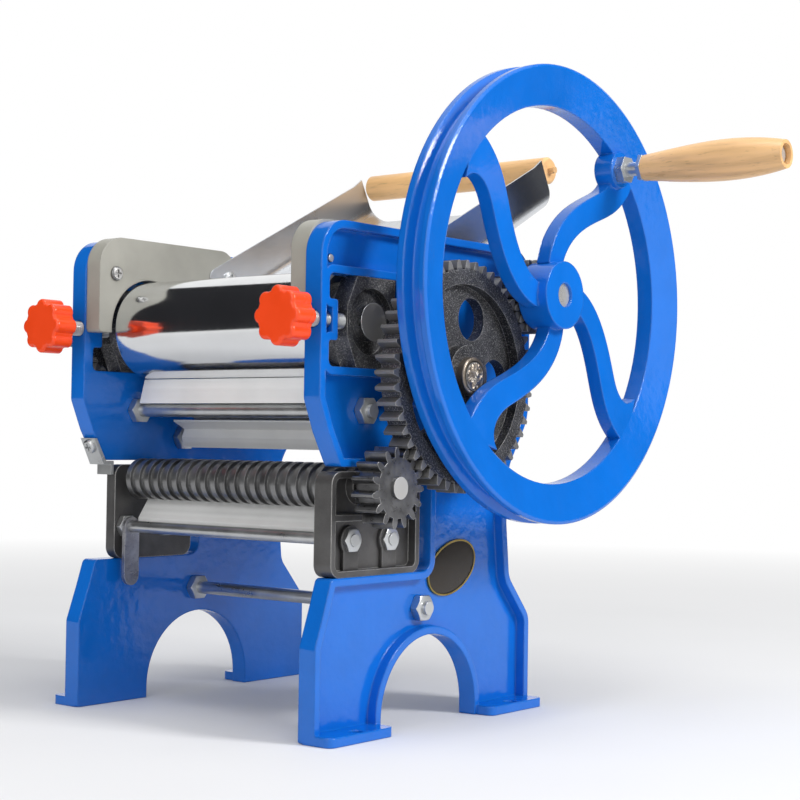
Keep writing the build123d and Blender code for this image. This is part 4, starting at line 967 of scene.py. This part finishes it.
class NOODLE_OT_stage(NoodleOperator, bpy.types.Operator):
    """Pale floor, soft lights and the camera"""

    bl_idname = "noodle.stage"
    bl_label = "Stage"

    def execute(self, context):
        stage = context.scene.noodle_stage
        self.floor()
        self.lights(stage)
        self.flags()
        self.sky(stage)
        self.camera(context, stage)
        context.scene.view_settings.view_transform = "Standard"
        return {"FINISHED"}

    def floor(self):
        """Pale floor just under the feet, which fades to white away from the machine."""
        drop, reach = 0.0002, 40.0
        fade_start, fade_end = 0.35, 1.9
        deselect()
        bpy.ops.mesh.primitive_circle_add(
            vertices=96, radius=reach, fill_type="NGON", location=(0.0, 0.0, -drop))
        floor = bpy.context.object
        floor.name = "floor"
        s = Shader("pale floor").set(Roughness=0.75, Specular_IOR_Level=0.2)
        s.link(s.ramp(s.noise(s.mapped(), 3.0, 2.0),
                      [(0.3, (0.80, 0.80, 0.81)), (0.7, (0.83, 0.83, 0.84))]), "Base Color")
        far = s.tree.nodes.new("ShaderNodeVectorMath")
        far.operation = "LENGTH"
        s.tree.links.new(s.where.outputs["Object"], far.inputs[0])
        fade = s.span(far.outputs["Value"], 0.0, 1.0, fade_start, fade_end)
        glow = s.tree.nodes.new("ShaderNodeEmission")
        glow.inputs["Color"].default_value = (1.0, 1.0, 1.0, 1.0)
        blend = s.tree.nodes.new("ShaderNodeMixShader")
        s.tree.links.new(fade, blend.inputs["Fac"])
        s.tree.links.new(s.body.outputs["BSDF"], blend.inputs[1])
        s.tree.links.new(glow.outputs["Emission"], blend.inputs[2])
        s.tree.links.new(blend.outputs["Shader"], s.out.inputs["Surface"])
        floor.data.materials.append(s.material)

    def lights(self, stage):
        """Three soft square lamps: name, power, side and place."""
        plan = (
            ("key light", stage.key_power, 0.6, (2.0, 0.45, 1.35)),
            ("fill light", stage.fill_power, 1.2, (0.5, -2.1, 0.9)),
            ("top light", stage.top_power, 1.2, (0.3, -0.4, 2.2)),
        )
        for name, power, size, place in plan:
            deselect()
            bpy.ops.object.light_add(type="AREA", location=place)
            lamp = bpy.context.object
            lamp.name = name
            lamp.data.energy = power
            lamp.data.shape = "SQUARE"
            lamp.data.size = size
            aim = Vector((0.0, 0.0, 0.2)) - Vector(place)
            lamp.rotation_euler = aim.to_track_quat("-Z", "Y").to_euler()

    def flags(self):
        """Dark studio flags that only gloss and metal see: name, place, turn and sides."""
        s = Shader("flag cloth").set(Roughness=0.9, Specular_IOR_Level=0.1)
        s.link(s.ramp(s.noise(s.mapped(), 40.0, 2.0),
                      [(0.3, (0.010, 0.010, 0.012)), (0.7, (0.022, 0.022, 0.025))]), "Base Color")
        plan = (
            ("flag_left", (-1.5, -1.15, 1.2), (0.0, math.pi / 2, 0.0), (2.4, 3.1)),
            ("flag_right", (1.6, 2.1, 1.2), (math.pi / 2, 0.0, 0.0), (2.8, 2.4)),
        )
        for name, place, turn, size in plan:
            deselect()
            bpy.ops.mesh.primitive_plane_add(size=1.0, location=place, rotation=turn)
            flag = bpy.context.object
            flag.name = name
            flag.scale = (*size, 1.0)
            flag.data.materials.append(s.material)
            flag.visible_camera = False
            flag.visible_diffuse = False
            flag.visible_shadow = False

    def sky(self, stage):
        """White to the camera, gloss and glass, and an even dimmer light to the rest."""
        world = bpy.data.worlds.new("pale room")
        bpy.context.scene.world = world
        world.use_nodes = True
        tree = world.node_tree
        tree.nodes.clear()
        out = tree.nodes.new("ShaderNodeOutputWorld")
        seen = tree.nodes.new("ShaderNodeBackground")
        seen.inputs["Strength"].default_value = 1.0
        seen.inputs["Color"].default_value = (1.0, 1.0, 1.0, 1.0)
        even = tree.nodes.new("ShaderNodeBackground")
        even.inputs["Strength"].default_value = stage.sky
        even.inputs["Color"].default_value = (0.97, 0.985, 1.0, 1.0)
        path = tree.nodes.new("ShaderNodeLightPath")
        either = tree.nodes.new("ShaderNodeMath")
        either.operation = "MAXIMUM"
        tree.links.new(path.outputs["Is Camera Ray"], either.inputs[0])
        tree.links.new(path.outputs["Is Glossy Ray"], either.inputs[1])
        all_three = tree.nodes.new("ShaderNodeMath")
        all_three.operation = "MAXIMUM"
        tree.links.new(either.outputs[0], all_three.inputs[0])
        tree.links.new(path.outputs["Is Transmission Ray"], all_three.inputs[1])
        mix = tree.nodes.new("ShaderNodeMixShader")
        tree.links.new(all_three.outputs[0], mix.inputs["Fac"])
        tree.links.new(even.outputs["Background"], mix.inputs[1])
        tree.links.new(seen.outputs["Background"], mix.inputs[2])
        tree.links.new(mix.outputs["Shader"], out.inputs["Surface"])

    def camera(self, context, stage):
        """The photograph's view, from its place, turn, tilt and roll."""
        yaw, pitch, roll = stage.yaw, stage.pitch, stage.roll
        ahead = Vector((-math.sin(yaw) * math.cos(pitch), math.cos(yaw) * math.cos(pitch),
                        math.sin(pitch)))
        level = Vector((math.cos(yaw), math.sin(yaw), 0.0))
        above = level.cross(ahead)
        right = math.cos(roll) * level + math.sin(roll) * above
        up = -math.sin(roll) * level + math.cos(roll) * above
        deselect()
        bpy.ops.object.camera_add(location=tuple(stage.place))
        camera = bpy.context.object
        camera.name = "camera"
        turn = Matrix((right, up, -ahead)).transposed()
        camera.rotation_euler = turn.to_euler()
        camera.data.sensor_width = 36.0
        camera.data.lens = stage.focal
        camera.data.clip_start = 0.01
        camera.data.clip_end = 100.0
        context.scene.camera = camera


class NOODLE_PT_sidebar(bpy.types.Panel):
    """Lists the machine's groups in the order they are made"""

    bl_idname = "NOODLE_PT_sidebar"
    bl_label = "Noodle Machine"
    bl_space_type = "VIEW_3D"
    bl_region_type = "UI"
    bl_category = "Noodle Machine"

    def draw(self, context):
        for operator in OPERATORS:
            self.layout.operator(operator.bl_idname)
        for setting in GROUPS:
            group = getattr(context.scene, setting)
            column = self.layout.column()
            for key in group.bl_rna.properties.keys():
                if key not in {"rna_type", "name"}:
                    column.prop(group, key)


OPERATORS = (
    NOODLE_OT_enamel,
    NOODLE_OT_castings,
    NOODLE_OT_rollers,
    NOODLE_OT_rods,
    NOODLE_OT_mouldings,
    NOODLE_OT_wood,
    NOODLE_OT_sheet,
    NOODLE_OT_plaque,
    NOODLE_OT_panel_screws,
    NOODLE_OT_nuts,
    NOODLE_OT_shaft_end,
    NOODLE_OT_bosses,
    NOODLE_OT_threads,
    NOODLE_OT_stage,
)
GROUPS = {
    "noodle_finish": NoodleFinishSettings,
    "noodle_fasteners": NoodleFastenerSettings,
    "noodle_plaque": NoodlePlaqueSettings,
    "noodle_stage": NoodleStageSettings,
}


def register():
    for setting, group in GROUPS.items():
        bpy.utils.register_class(group)
        setattr(bpy.types.Scene, setting, PointerProperty(type=group))
    for operator in OPERATORS:
        bpy.utils.register_class(operator)
    bpy.utils.register_class(NOODLE_PT_sidebar)


def unregister():
    bpy.utils.unregister_class(NOODLE_PT_sidebar)
    for operator in reversed(OPERATORS):
        bpy.utils.unregister_class(operator)
    for setting, group in reversed(GROUPS.items()):
        delattr(bpy.types.Scene, setting)
        bpy.utils.unregister_class(group)


def main():
    register()
    bpy.ops.noodle.enamel()
    bpy.ops.noodle.castings()
    bpy.ops.noodle.rollers()
    bpy.ops.noodle.rods()
    bpy.ops.noodle.mouldings()
    bpy.ops.noodle.wood()
    bpy.ops.noodle.sheet()
    bpy.ops.noodle.plaque()
    bpy.ops.noodle.panel_screws()
    bpy.ops.noodle.nuts()
    bpy.ops.noodle.shaft_end()
    bpy.ops.noodle.bosses()
    bpy.ops.noodle.threads()
    bpy.ops.noodle.stage()


if __name__ == "__main__":
    main()
